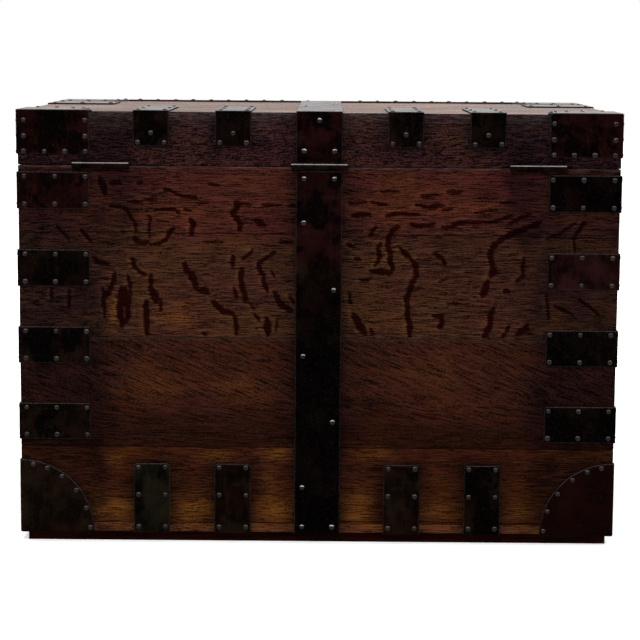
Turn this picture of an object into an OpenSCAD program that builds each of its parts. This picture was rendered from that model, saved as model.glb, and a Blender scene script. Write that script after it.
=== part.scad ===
// Iron-bound oak silver chest: boarded body, hinged lid, lift-out tray, box lock and two bail handles.
// The front faces -Y, the hinges are at the back (+Y), and the plinth stands on z = 0.

/* [Body] */
// Width of the boarded body, over the wood
body_w = 910; // [860:1:980]
// Depth of the boarded body, over the wood
body_d = 605; // [560:1:660]
// Height from the underside of the bottom boards to the seam under the lid
body_h = 564; // [545:1:620]
// Thickness of the wall boards
board_t = 22; // [20:1:26]
// Thickness of the bottom boards
bottom_t = 14; // [12:1:20]
// Height of the joint between the lower and middle back boards
back_low_joint = 133; // [110:1:160]
// Height of the joint between the middle and upper back boards
back_high_joint = 302.5; // [260:0.5:340]
// Height of the joint between the lower and middle front boards
front_low_joint = 176; // [150:1:200]
// Height of the joint between the middle and upper front boards
front_high_joint = 372; // [330:1:410]
// Height of the joint between the two boards of each end
end_joint = 268; // [230:1:300]
// Thickness of the tongues that join the boards
tongue_t = 6; // [4:0.5:8]
// Height of the tongues that join the boards
tongue_h = 6; // [4:0.5:10]
// Open joint between neighbouring boards
joint_gap = 0.2; // [0.1:0.05:0.4]
// Running gap between the body and the closed lid
seam_gap = 0.8; // [0.6:0.1:0.9]

/* [Plinth] */
// Height of the plinth rails
plinth_h = 16; // [12:1:30]
// How far the plinth stands in from the wood above it
plinth_inset = 9; // [8:0.5:14]
// Width of the plinth rails
plinth_rail = 24; // [18:1:40]

/* [Lid] */
// Height of the lid's wood above the seam
lid_h = 81.5; // [80:0.5:96]
// Thickness of the lid's top boards
lid_top_t = 16; // [14:0.5:18]
// Thickness of the lid's rim boards
lid_rim_t = 22; // [20:1:24]

/* [Iron] */
// Thickness of the iron plates
iron_t = 2.5; // [2:0.1:3.2]
// Reach of the corner plates along each face, from the wood's corner
corner_leg = 108; // [95:1:120]
// Height of the corner plates on the body
corner_h = 56; // [48:1:66]
// Spacing of the corner plates up the body
corner_pitch = 118; // [110:1:124]
// Distance of the highest corner plate's middle below the seam
corner_first = 38; // [36:1:44]
// Number of corner plates up each corner
corner_count = 4; // [3:1:4]
// Radius of the quarter-round caps at the base corners
base_cap_r = 112; // [100:1:116]
// Width of the iron lips that are turned under the body
lip = 7; // [5:0.5:7.5]
// Width of the clips at the base
clip_w = 56; // [48:1:60]
// Height of the clips at the base
clip_h = 107; // [95:1:120]
// Distance of the inner clips from the middle of the front and back
near_clip = 130; // [110:1:150]
// Distance of the outer clips from the middle of the front and back
far_clip = 254; // [240:1:275]
// Distance of the end clips from the middle of each end
end_clip = 92; // [75:1:120]
// Width of the centre straps
strap_w = 70; // [60:1:76]
// Distance between the seam and the ends of the centre straps
strap_gap = 5.5; // [5:0.5:8]

/* [Lid iron] */
// Height of the lid's corner caps on the faces, below the wood's top
lid_cap_drop = 65; // [60:0.5:70]
// Radius of the quarter-round tops of the lid's corner caps
lid_cap_r = 112; // [100:1:118]
// Width of the clips along the back of the lid
lid_clip_w = 54; // [46:1:58]
// Height of the lid clips on the faces, below the wood's top
lid_clip_drop = 52; // [46:0.5:58]
// Reach of the back clips over the lid's top
lid_clip_reach = 208; // [170:1:240]
// Width of the lid clips at the ends
end_clip_w = 118; // [100:1:126]
// Distance of the end clips' middle from the back of the lid
end_clip_back = 410; // [390:1:425]
// Reach of the edge strips over the lid's top
edge_top = 30; // [26:1:40]
// Reach of the edge strips down the lid's front
edge_drop = 24; // [20:1:30]
// Spacing of the nails along the edge strips
edge_pitch = 31.8; // [28:0.2:36]

/* [Nails] */
// Radius of the nail heads
nail_r = 4; // [3.2:0.1:4.5]
// Rise of the domed nail heads
nail_rise = 2; // [1.4:0.1:2.6]
// Radius of the nail shanks
shank_r = 1.2; // [1:0.1:1.4]
// Depth of the nails in the wood
nail_bite = 7; // [5:0.5:7]
// Distance of the outermost nails from a corner of the wood
nail_inset = 9.5; // [9.5:0.5:11]
// Distance of the nails from the other edges of the plates
nail_edge = 6; // [5.5:0.5:8]
// Clearance round the nails and screws
nail_fit = 0.1; // [0.05:0.05:0.2]
// Height of the lowest nails of the base clips above the wood's underside
clip_nail_low = 8; // [7:0.5:12]
// Height of the middle nails of the base clips above the wood's underside
clip_nail_mid = 58; // [50:1:62]
// Distance of the body straps' upper pair of nails below the seam
strap_nail_top = 18; // [14:1:24]
// Distance of the body straps' highest staggered nail below the seam
strap_nail_high = 85; // [75:1:100]
// Height of the body straps' lowest staggered nail above the wood's underside
strap_nail_low = 71; // [60:1:80]
// Distance of the highest nails of the lid's corner caps below the wood's top
lid_nail_high = 14; // [12:0.5:16]
// Distance of the middle nails of the lid's corner caps below the wood's top
lid_nail_mid = 38; // [32:0.5:42]
// Distance of the lid strap's single nails below the wood's top
lid_strap_high = 12; // [11:0.5:16]
// Height of the lid strap's pairs of nails above the seam
lid_strap_low = 23.5; // [20:0.5:28]
// Height of the single nail of each lid clip above the clip's lower edge
lid_clip_high = 20; // [18:0.5:26]
// Distance of the back clips' first nails on the lid's top from its back edge
clip_top_first = 15; // [13:1:20]
// Distance of the edge strips' first nails from the strips' inner ends
edge_first = 34.5; // [28:0.5:38]
// Distance of the handle plates' nails from the plates' edges
handle_nail_edge = 9; // [8:0.5:12]

/* [Hinges] */
// Length of each hinge
hinge_len = 85; // [70:1:100]
// Distance of the outer hinges from the middle
hinge_x = 330; // [290:1:345]
// Radius of the hinge barrels
barrel_r = 4.75; // [4.5:0.05:5]
// Clearance between the barrels and the wood
barrel_gap = 0.25; // [0.2:0.05:0.4]
// Radius of the hinge pins
pin_r = 2.2; // [1.8:0.1:2.5]
// Radial clearance of the hinge pins in the lid's leaves
pin_fit = 0.05; // [0.03:0.01:0.08]
// Thickness of the hinge leaves
leaf_t = 2.2; // [1.8:0.1:2.6]
// Depth of the hinge leaves on the wood
leaf_d = 18; // [16:0.5:19]

/* [Handles] */
// Height of the handle pivots above the underside of the body
handle_h = 340; // [320:1:346]
// Width of the handle plates
handle_plate_w = 176; // [170:1:190]
// Height of the handle plates
handle_plate_h = 58; // [54:1:66]
// Thickness of the handle plates
handle_plate_t = 3; // [2.5:0.1:4]
// Distance of each ear's middle from the middle of the handle
ear_x = 58; // [50:1:62]
// Length of each ear along the pivot
ear_l = 16; // [14:0.5:20]
// Radius of the ears round the pivot
ear_r = 9; // [8:0.5:10]
// Distance of the pivot from the face of the plate
pivot_out = 11; // [10.5:0.5:13]
// Radius of the pivots
pivot_r = 4.5; // [4:0.1:5]
// Radial clearance of the pivots in the ears
pivot_fit = 0.1; // [0.08:0.01:0.1]
// Radius of the bail's bar
bail_r = 5.5; // [5:0.1:6]
// Drop of the bail's grip below the pivot
bail_drop = 64; // [56:1:80]
// Radius of the bail's lower bends
bail_bend = 18; // [12:1:24]

/* [Lock] */
// Width of the lock case
lock_w = 92; // [90:1:100]
// Height of the lock case
lock_h = 58; // [57:1:64]
// Depth of the lock case in the board
lock_d = 14; // [13.5:0.1:14]
// Thickness of the lock's plates
lock_t = 2; // [1.6:0.1:2.2]
// Thickness of the lock's rim plate and of the link plate
rim_plate_t = 2.5; // [2:0.1:3]
// Length of the rim plate and of the link plate
rim_plate_w = 116; // [112:1:124]
// Distance of the staples from the middle
staple_x = 22; // [21:0.5:23]
// Thickness of the staples
staple_t = 3; // [2.5:0.1:3.5]
// Reach of the staples below the body's rim
staple_l = 13.5; // [12.5:0.5:13.5]
// Travel of the bolt
bolt_throw = 9; // [8.5:0.1:9.5]
// Distance of the key's axis below the body's rim
key_down = 36; // [35.5:0.5:37]
// Radius of the key's stem
key_r = 3; // [2.6:0.1:3.2]
// Reach of the key's bit from its axis
bit_r = 16; // [15:0.1:16]
// Thickness of the key's bit
bit_t = 2.6; // [2:0.1:3]
// Radius of the key's bow
bow_r = 12; // [11:0.5:14]
// Thickness of the key's bow
bow_t = 4; // [3:0.1:5]
// Stem between the wood and the bow
stem_out = 13; // [11:0.5:20]
// Width of the escutcheon
escutcheon_w = 28; // [24:1:32]

/* [Tray] */
// Height of the tray
tray_h = 72; // [60:1:90]
// Thickness of the tray's sides
tray_side_t = 9; // [7:0.5:12]
// Thickness of the tray's bottom
tray_bottom_t = 6; // [4:0.5:8]
// Thickness of the tray's dividers
divider_t = 6; // [4:0.5:8]
// Clearance round the tray
tray_clear = 3; // [2.5:0.5:5]
// Distance of the tray's top below the seam
tray_down = 13; // [12:1:20]
// Number of cross dividers
divider_count = 3; // [1:1:4]
// Size of the runners under the tray
runner = 14; // [10:1:20]
// Thickness of the cloth-covered lining
lining_t = 3; // [2:0.5:4]

/* [Hidden] */
$fn = 48;
FRONT = 0;
RIGHT = 1;
BACK = 2;
LEFT = 3;
fit = 0.3;
iron_gap = 0.5;
over = 1;
z_base = plinth_h;
z_wall = z_base + bottom_t;
z_seam = z_base + body_h;
z_rim = z_seam - seam_gap / 2;
z_lid = z_seam + seam_gap / 2;
z_top = z_seam + lid_h;
z_lid_ceiling = z_top - lid_top_t;
barrel_out = barrel_r + barrel_gap;
back_reach = barrel_out + barrel_r;
bow_weld = 2;
bow_out = stem_out + bow_r - bow_weld;
front_reach = bow_out + bow_r;
mid_y = (front_reach - back_reach) / 2;
y_back = mid_y + body_d / 2;
y_front = mid_y - body_d / 2;
y_axis = y_back + barrel_out;
inner_w = body_w - 2 * board_t;
inner_d = body_d - 2 * board_t;
corner_z = [for (i = [0 : corner_count - 1]) z_seam - corner_first - i * corner_pitch];
cap_angles = [3, 20, 37, 54, 68, 80];
lid_cap_angles = [9, 27, 45, 63, 81];
clip_rows = [clip_nail_low, clip_nail_mid, clip_h - nail_edge];
strap_row_count = 5;
z_key = z_rim - key_down;
z_pivot = z_base + handle_h;
iron = [0.13, 0.11, 0.11];
oak = [0.33, 0.19, 0.11];
baize = [0.12, 0.27, 0.16];
brass = [0.66, 0.52, 0.24];
steel = [0.42, 0.40, 0.38];

// Children are drawn on a face of the chest: x runs along it, y is the height, z points outwards.
module on_face(side) {
    half = side % 2 == 0 ? body_d / 2 : body_w / 2;
    translate([0, mid_y, 0])
        rotate([0, 0, 90 * side])
            translate([0, -half, 0])
                rotate([90, 0, 0]) children();
}

// Children are drawn on the lid's top, with x and y as in the model and z = 0 on the wood.
module on_top() {
    translate([0, mid_y, z_top]) children();
}

// Children are drawn outside a vertical corner of the wood, which lies on their -x, -y side.
module at_corner(sx, sy) {
    translate([sx * body_w / 2, mid_y + sy * body_d / 2, 0])
        mirror([sx < 0 ? 1 : 0, 0, 0])
            mirror([0, sy < 0 ? 1 : 0, 0]) children();
}

function face_half(side) = side % 2 == 0 ? body_w / 2 : body_d / 2;
function keep_side(spots, s) = [for (p = spots) if (p[0] * s > 0) p];

// Nail spots on the body's faces, as [along the face, height]
leg_steps = [nail_inset, (nail_inset + corner_leg - nail_edge) / 2, corner_leg - nail_edge];
row_rise = corner_h / 2 - nail_edge - 1;
cap_nail_r = base_cap_r - nail_edge;
clip_col = clip_w / 2 - nail_edge - 1.5;
strap_col = strap_w / 2 - nail_edge - 6;
function corner_spots(side) = [for (s = [-1, 1], z = corner_z, d = leg_steps, k = [-1, 1])
    [s * (face_half(side) - d), z + k * row_rise]];
function cap_spots(side) = [for (s = [-1, 1], a = cap_angles)
    [s * (face_half(side) - cap_nail_r * cos(a)), z_base + cap_nail_r * sin(a)]];
function clip_places(side) = side % 2 == 0 ? [-far_clip, -near_clip, near_clip, far_clip]
    : [-end_clip, end_clip];
function clip_spots(side) = [for (x = clip_places(side), r = clip_rows, k = [-1, 1])
    [x + k * clip_col, z_base + r]];
strap_step = (body_h - strap_nail_high - strap_nail_low) / (strap_row_count - 1);
function strap_row(i) = body_h - strap_nail_high - i * strap_step;
function strap_spots() = concat(
    [for (k = [-1, 1]) [k * strap_col, z_seam - strap_nail_top]],
    [for (i = [0 : strap_row_count - 1]) [(i % 2 == 0 ? -1 : 1) * strap_col, z_base + strap_row(i)]],
    [for (k = [-1, 1]) [k * strap_col, z_base + clip_rows[0] + 1]]);
handle_nail_x = handle_plate_w / 2 - handle_nail_edge;
handle_nail_z = handle_plate_h / 2 - handle_nail_edge;
function handle_spots() = [for (x = [-1, 0, 1], k = [-1, 1])
    [x * handle_nail_x, z_pivot + k * handle_nail_z]];
escutcheon_reach = 7;
escutcheon_edge = 5;
escutcheon_half = bit_r + escutcheon_reach;
function body_spots(side) = concat(corner_spots(side), cap_spots(side), clip_spots(side),
    side % 2 == 0 ? strap_spots() : []);

// Nail spots on the lid's faces, as [along the face, height], and on its top, as [x, y]
lid_leg_rows = [lid_nail_high, lid_nail_mid];
lid_low_row = lid_cap_drop - nail_edge + 2;
function lid_cap_spots(side) = [for (s = [-1, 1]) each concat(
    [for (d = [nail_inset, corner_leg - nail_edge], r = lid_leg_rows)
        [s * (face_half(side) - d), z_top - r]],
    [for (i = [0 : 3]) [s * (face_half(side) - nail_inset
        - i * (corner_leg - nail_edge - nail_inset) / 3), z_top - lid_low_row]])];
function lid_clip_face(x, half_w) = [[x, z_top - lid_clip_drop + lid_clip_high],
    [x - half_w, z_top - lid_clip_drop + nail_edge],
    [x + half_w, z_top - lid_clip_drop + nail_edge]];
lid_clip_col = lid_clip_w / 2 - nail_edge - 1;
function lid_strap_face() = [[0, z_top - lid_strap_high],
    [-strap_col, z_seam + lid_strap_low], [strap_col, z_seam + lid_strap_low]];
edge_from = strap_w / 2 + iron_gap;
edge_to = body_w / 2 - max(corner_leg, lid_cap_r) - iron_gap;
edge_count = floor((edge_to - edge_from - edge_first - nail_edge) / edge_pitch);
edge_spots = [for (s = [-1, 1], i = [0 : edge_count]) s * (edge_from + edge_first + edge_pitch * i)];
edge_top_row = -body_d / 2 + edge_top / 2 - 2;
function end_clip_x(side) = (side == RIGHT ? 1 : -1) * (body_d / 2 - end_clip_back);
function lid_spots(side) = concat(lid_cap_spots(side),
    side % 2 == 1 ? lid_clip_face(end_clip_x(side), end_clip_w / 2 - nail_edge) : lid_strap_face(),
    side == BACK ? [for (x = clip_places(BACK)) each lid_clip_face(x, lid_clip_col)] : [],
    side == FRONT ? [for (x = edge_spots) [x, z_top - edge_drop / 2]] : []);
lid_cap_nail_r = lid_cap_r - nail_edge;
clip_top_rows = [clip_top_first, lid_clip_reach / 2, lid_clip_reach - clip_top_first + 2];
strap_top_rows = [[-1, 0.05], [1, 0.24], [1, 0.425], [-1, 0.615], [-1, 0.769], [1, 0.959]];
top_spots = concat(
    [for (sx = [-1, 1], sy = [-1, 1], a = lid_cap_angles)
        [sx * (body_w / 2 - lid_cap_nail_r * cos(a)), sy * (body_d / 2 - lid_cap_nail_r * sin(a))]],
    [for (x = clip_places(BACK), r = clip_top_rows, k = [-1, 1])
        [x + k * lid_clip_col, body_d / 2 - r]],
    [for (s = [-1, 1], d = leg_steps, k = [-1, 1])
        [s * (body_w / 2 - d), body_d / 2 - end_clip_back + k * (end_clip_w / 2 - nail_edge - 4)]],
    [for (p = strap_top_rows) [p[0] * strap_col, body_d / 2 - p[1] * body_d]],
    [for (x = edge_spots) [x, edge_top_row]]);

// A domed nail, its shank in the wood and its head on a plate of thickness t
module nail(t) {
    ball_r = (nail_r * nail_r + nail_rise * nail_rise) / (2 * nail_rise);
    intersection() {
        translate([0, 0, t + nail_rise - ball_r]) sphere(r = ball_r);
        translate([-nail_r, -nail_r, t]) cube([2 * nail_r, 2 * nail_r, nail_rise + over]);
    }
    translate([0, 0, -nail_bite]) cylinder(r = shank_r, h = nail_bite + t + nail_rise / 2);
}

module nails(spots, t = iron_t) {
    for (p = spots) translate([p[0], p[1], 0]) nail(t);
}

module nail_holes(spots, t = iron_t) {
    for (p = spots) translate([p[0], p[1], -nail_bite - fit])
        cylinder(r = shank_r + nail_fit, h = nail_bite + fit + t + over);
}

// Holes for every nail that enters the body or the lid through one face
module body_holes(side) {
    on_face(side) nail_holes(body_spots(side));
    if (side % 2 == 1) on_face(side) nail_holes(handle_spots(), handle_plate_t);
}

module lid_holes(side) {
    on_face(side) nail_holes(lid_spots(side));
}

// One board of a wall in a face's own frame, from one height to another
module board(len, low, high, tongue, groove) {
    difference() {
        union() {
            translate([-len / 2, low + (groove ? joint_gap : 0), -board_t])
                cube([len, high - low - (groove ? joint_gap : 0), board_t]);
            if (tongue) translate([-len / 2, high - over, -(board_t + tongue_t) / 2])
                cube([len, tongue_h + over, tongue_t]);
        }
        if (groove) translate([-len / 2 - over, low - over, -(board_t + tongue_t) / 2 - fit / 2])
            cube([len + 2 * over, tongue_h + over + fit, tongue_t + fit]);
    }
}

module back_board(low, high, tongue, groove) {
    color(oak) difference() {
        on_face(BACK) board(body_w, low, high, tongue, groove);
        for (side = [BACK, LEFT, RIGHT]) body_holes(side);
    }
}

module back_lower_board() {
    back_board(z_wall, z_base + back_low_joint, true, false);
}

module back_middle_board() {
    back_board(z_base + back_low_joint, z_base + back_high_joint, true, true);
}

module back_upper_board() {
    difference() {
        back_board(z_base + back_high_joint, z_rim, false, true);
        for (x = hinge_places) translate([x, 0, 0]) {
            leaf_bed(z_rim - leaf_t - nail_fit);
            screw_holes(-1);
        }
    }
}

module front_board(low, high, tongue, groove) {
    color(oak) difference() {
        on_face(FRONT) board(body_w, low, high, tongue, groove);
        for (side = [FRONT, LEFT, RIGHT]) body_holes(side);
    }
}

module front_lower_board() {
    front_board(z_wall, z_base + front_low_joint, true, false);
}

module front_middle_board() {
    front_board(z_base + front_low_joint, z_base + front_high_joint, true, true);
}

module front_upper_board() {
    difference() {
        front_board(z_base + front_high_joint, z_rim, false, true);
        on_face(FRONT) {
            translate([-lock_w / 2 - nail_fit, z_rim - lock_h - nail_fit, -board_t - over])
                cube([lock_w + 2 * nail_fit, lock_h + over, lock_d + over + nail_fit]);
            rim_plate_bed(z_rim - rim_plate_t - nail_fit);
            keyhole(-board_t, 0, fit);
            nail_holes(escutcheon_spots());
        }
        rim_screw_holes(-1);
    }
}

module end_boards(side) {
    len = inner_d;
    color(oak) difference() {
        on_face(side) {
            board(len, z_wall, z_base + end_joint, true, false);
            board(len, z_base + end_joint, z_rim, false, true);
        }
        body_holes(side);
    }
}

module left_end_boards() {
    end_boards(LEFT);
}

module right_end_boards() {
    end_boards(RIGHT);
}

// Three boards side by side, which the walls stand on
module bottom_boards() {
    color(oak) difference() {
        for (i = [0 : 2]) translate([-body_w / 2, y_front + i * (body_d + joint_gap) / 3, z_base])
            cube([body_w, (body_d - 2 * joint_gap) / 3, bottom_t]);
        for (side = [FRONT, RIGHT, BACK, LEFT]) body_holes(side);
    }
}

module plinth_rails() {
    out_w = body_w - 2 * plinth_inset;
    out_d = body_d - 2 * plinth_inset;
    color([0.23, 0.07, 0.05]) {
        for (s = [-1, 1]) {
            translate([-out_w / 2, mid_y + s * (out_d - plinth_rail) / 2 - plinth_rail / 2, 0])
                cube([out_w, plinth_rail, plinth_h]);
            translate([s * (out_w - plinth_rail) / 2 - plinth_rail / 2,
                mid_y - out_d / 2 + plinth_rail + joint_gap, 0])
                cube([plinth_rail, out_d - 2 * plinth_rail - 2 * joint_gap, plinth_h]);
        }
    }
}

// Cloth-covered panels against the four walls and on the bottom
lining_top = z_seam - tray_down;
module chest_lining() {
    h = lining_top - z_wall;
    color(baize) {
        for (s = [-1, 1]) {
            translate([-inner_w / 2, mid_y + s * (inner_d - lining_t) / 2 - lining_t / 2, z_wall])
                cube([inner_w, lining_t, h]);
            translate([s * (inner_w - lining_t) / 2 - lining_t / 2,
                mid_y - inner_d / 2 + lining_t + joint_gap, z_wall])
                cube([lining_t, inner_d - 2 * lining_t - 2 * joint_gap, h]);
        }
        floor_w = inner_w - 2 * lining_t - 2 * joint_gap;
        floor_d = inner_d - 2 * lining_t - 2 * joint_gap;
        translate([-floor_w / 2, mid_y - floor_d / 2, z_wall]) cube([floor_w, floor_d, lining_t]);
    }
}

// Runners on the end walls that the tray rests on
tray_w = inner_w - 2 * lining_t - 2 * tray_clear;
tray_d = inner_d - 2 * lining_t - 2 * tray_clear;
tray_z = z_seam - tray_down - tray_h;
module tray_runners() {
    run_l = inner_d - 2 * lining_t;
    run_x = inner_w / 2 - lining_t - runner;
    color(oak) for (s = [-1, 1])
        translate([s > 0 ? run_x : -run_x - runner, mid_y - run_l / 2, tray_z - fit - runner])
            cube([runner, run_l, runner]);
}

// Iron bent over an edge: a leg down a face and a leg over the top, with the bend's round edge
module over_edge(drop, reach) {
    translate([0, -drop]) square([iron_t, drop]);
    translate([-reach, 0]) square([reach, iron_t]);
    bend_2d();
}

// Iron bent under an edge: a leg up a face and a lip below
module under_edge(up) {
    square([iron_t, up]);
    translate([-lip, -iron_t]) square([lip, iron_t]);
    mirror([0, 1]) bend_2d();
}

module bend_2d() {
    intersection() {
        circle(r = iron_t);
        square(iron_t);
    }
}

// A bent strip of a given width in a face's own frame, with the edge of the wood at a height
module bent_strip(width, edge_z) {
    translate([0, edge_z, 0]) rotate([0, -90, 0])
        linear_extrude(width, center = true) children();
}

module back_centre_strap() {
    color(iron) on_face(BACK) difference() {
        bent_strip(strap_w, z_base) under_edge(body_h - strap_gap);
        nail_holes(strap_spots());
    }
}

module front_centre_strap() {
    color(iron) on_face(FRONT) difference() {
        bent_strip(strap_w, z_base) under_edge(body_h - strap_gap);
        nail_holes(strap_spots());
        nail_holes(escutcheon_spots());
        keyhole(-over, iron_t + over, fit);
    }
}

module corner_angle(sx, sy) {
    face_y = sy > 0 ? BACK : FRONT;
    face_x = sx > 0 ? RIGHT : LEFT;
    along_y = sy > 0 ? -sx : sx;
    along_x = sx > 0 ? sy : -sy;
    color(iron) difference() {
        at_corner(sx, sy) for (z = corner_z) translate([0, 0, z - corner_h / 2])
            linear_extrude(corner_h) {
                translate([-corner_leg, 0]) square([corner_leg, iron_t]);
                translate([0, -corner_leg]) square([iron_t, corner_leg]);
                bend_2d();
            }
        on_face(face_y) nail_holes(keep_side(corner_spots(face_y), along_y));
        on_face(face_x) nail_holes(keep_side(corner_spots(face_x), along_x));
    }
}

module back_left_corner_plates() {
    corner_angle(-1, 1);
}

module back_right_corner_plates() {
    corner_angle(1, 1);
}

module front_left_corner_plates() {
    corner_angle(-1, -1);
}

module front_right_corner_plates() {
    corner_angle(1, -1);
}

// Quarter of a disc that stands on a face, centred on the wood's corner
module quarter_plate(r) {
    intersection() {
        cylinder(r = r, h = iron_t);
        translate([-r, 0, 0]) cube([r, r, iron_t]);
    }
}

// Round edge of the iron along +x, outside an edge of the wood
module round_edge(len) {
    rotate([90, 0, 90]) linear_extrude(len) bend_2d();
}

// Round corner of the iron where three plates meet
module round_corner() {
    intersection() {
        sphere(r = iron_t);
        cube(iron_t);
    }
}

// A cap on a base corner, in the corner's own frame: two quarter-round plates and a turned lip
module base_cap_solid() {
    translate([0, 0, z_base]) {
        rotate([90, 0, 0]) translate([0, 0, -iron_t]) quarter_plate(base_cap_r);
        rotate([0, 0, -90]) mirror([1, 0, 0]) rotate([90, 0, 0])
            translate([0, 0, -iron_t]) quarter_plate(base_cap_r);
        linear_extrude(base_cap_r) bend_2d();
        mirror([0, 0, 1]) {
            translate([-base_cap_r, -lip, 0]) cube([base_cap_r, lip, iron_t]);
            translate([-lip, -base_cap_r, 0]) cube([lip, base_cap_r, iron_t]);
            translate([-base_cap_r, 0, 0]) round_edge(base_cap_r);
            rotate([0, 0, -90]) mirror([1, 0, 0]) translate([-base_cap_r, 0, 0]) round_edge(base_cap_r);
            round_corner();
        }
    }
}

module base_cap(sx, sy) {
    face_y = sy > 0 ? BACK : FRONT;
    face_x = sx > 0 ? RIGHT : LEFT;
    along_y = sy > 0 ? -sx : sx;
    along_x = sx > 0 ? sy : -sy;
    color(iron) difference() {
        at_corner(sx, sy) base_cap_solid();
        on_face(face_y) nail_holes(keep_side(cap_spots(face_y), along_y));
        on_face(face_x) nail_holes(keep_side(cap_spots(face_x), along_x));
    }
}

module back_left_base_cap() {
    base_cap(-1, 1);
}

module back_right_base_cap() {
    base_cap(1, 1);
}

module front_left_base_cap() {
    base_cap(-1, -1);
}

module front_right_base_cap() {
    base_cap(1, -1);
}

module base_clips(side) {
    color(iron) on_face(side) difference() {
        for (x = clip_places(side)) translate([x, 0, 0])
            bent_strip(clip_w, z_base) under_edge(clip_h);
        nail_holes(clip_spots(side));
    }
}

module back_base_clips() {
    base_clips(BACK);
}

module front_base_clips() {
    base_clips(FRONT);
}

module end_base_clips() {
    for (side = [LEFT, RIGHT]) base_clips(side);
}

module back_nails() {
    color(steel) on_face(BACK) nails(body_spots(BACK));
}

module front_nails() {
    color(steel) on_face(FRONT) {
        nails(body_spots(FRONT));
        nails(escutcheon_spots(), iron_t + lock_t);
    }
}

module end_nails(side) {
    color(steel) on_face(side) {
        nails(body_spots(side));
        nails(handle_spots(), handle_plate_t);
    }
}

module left_nails() {
    end_nails(LEFT);
}

module right_nails() {
    end_nails(RIGHT);
}

// Hinges: each leaf lies in a bed in the rim, and its knuckles turn on a pin behind the wood
hinge_places = [-hinge_x, 0, hinge_x];
knuckle_count = 5;
knuckle_l = hinge_len / knuckle_count;
knuckle_gap = 0.3;
screw_steps = [-1, 0, 1];
screw_pitch = hinge_len / 3;
screw_l = 13;
screw_r = 1.6;
screw_head_r = 3.2;
screw_head_h = 1.8;

module leaf_bed(z) {
    translate([-hinge_len / 2 - nail_fit, y_back - leaf_d - nail_fit, z])
        cube([hinge_len + 2 * nail_fit, leaf_d + nail_fit + over, leaf_t + nail_fit + over]);
}

// Children are drawn at each screw of a leaf, on the face of the wood's rim, pointing into the wood
module at_leaf_screws(s) {
    for (i = screw_steps)
        translate([i * screw_pitch, y_back - leaf_d / 2 - (i == 0 ? 2 : -2), s < 0 ? z_rim : z_lid])
            mirror([0, 0, s > 0 ? 1 : 0]) children();
}

module screw() {
    translate([0, 0, -screw_head_h]) cylinder(r1 = screw_r, r2 = screw_head_r, h = screw_head_h - nail_fit);
    translate([0, 0, -screw_l]) cylinder(r = screw_r, h = screw_l - screw_head_h + 0.5);
}

module screw_hole() {
    translate([0, 0, -screw_l - fit]) cylinder(r = screw_r + nail_fit, h = screw_l + fit + over);
}

module screw_seat() {
    screw_hole();
    translate([0, 0, -screw_head_h - nail_fit])
        cylinder(r1 = screw_r + nail_fit, r2 = screw_head_r + nail_fit, h = screw_head_h + nail_fit);
}

module screw_holes(s) {
    at_leaf_screws(s) screw_hole();
}

// One leaf with its knuckles: s is -1 on the body and 1 on the lid
module hinge_leaf(s) {
    first = s < 0 ? 0 : 1;
    plate_z = s < 0 ? z_rim - leaf_t : z_lid;
    difference() {
        union() {
            translate([-hinge_len / 2, y_back - leaf_d, plate_z]) cube([hinge_len, leaf_d, leaf_t]);
            for (i = [first : 2 : knuckle_count - 1]) {
                x = -hinge_len / 2 + i * knuckle_l + knuckle_gap / 2;
                l = knuckle_l - knuckle_gap;
                translate([x, y_axis, z_seam]) rotate([0, 90, 0]) cylinder(r = barrel_r, h = l);
                translate([x, y_back - over, plate_z]) cube([l, barrel_out + over, leaf_t]);
            }
        }
        translate([-hinge_len / 2 - over, y_axis, z_seam]) rotate([0, 90, 0])
            cylinder(r = pin_r + pin_fit, h = hinge_len + 2 * over);
        at_leaf_screws(s) screw_seat();
    }
}

module hinge_body_leaves() {
    color(iron) for (x = hinge_places) translate([x, 0, 0]) hinge_leaf(-1);
}

module hinge_lid_leaves() {
    color(iron) for (x = hinge_places) translate([x, 0, 0]) hinge_leaf(1);
}

module hinge_pins() {
    color(steel) for (x = hinge_places)
        translate([x - hinge_len / 2, y_axis, z_seam]) rotate([0, 90, 0])
            cylinder(r = pin_r, h = hinge_len);
}

// Screws of the hinges and of the lock's rim plate, all in the body
module chest_screws() {
    color(steel) {
        for (x = hinge_places) translate([x, 0, 0]) at_leaf_screws(-1) screw();
        at_rim_screws(-1) screw();
    }
}

// Handles: a plate with two ears on each end, and a bail that turns in them
pivot_n = handle_plate_t + pivot_out;
arm_x = ear_x + ear_l / 2 + bail_r + 0.5;
module handle_plate(side) {
    color(iron) on_face(side) difference() {
        union() {
            translate([-handle_plate_w / 2, z_pivot - handle_plate_h / 2, 0])
                cube([handle_plate_w, handle_plate_h, handle_plate_t]);
            for (s = [-1, 1]) translate([s * ear_x - ear_l / 2, z_pivot, pivot_n]) {
                rotate([0, 90, 0]) cylinder(r = ear_r, h = ear_l);
                translate([0, -ear_r, -pivot_out]) cube([ear_l, 2 * ear_r, pivot_out]);
            }
        }
        for (s = [-1, 1]) translate([s * ear_x - ear_l / 2 - over, z_pivot, pivot_n])
            rotate([0, 90, 0]) cylinder(r = pivot_r + pivot_fit, h = ear_l + 2 * over);
        nail_holes(handle_spots(), handle_plate_t);
    }
}

module left_handle_plate() {
    handle_plate(LEFT);
}

module right_handle_plate() {
    handle_plate(RIGHT);
}

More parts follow.
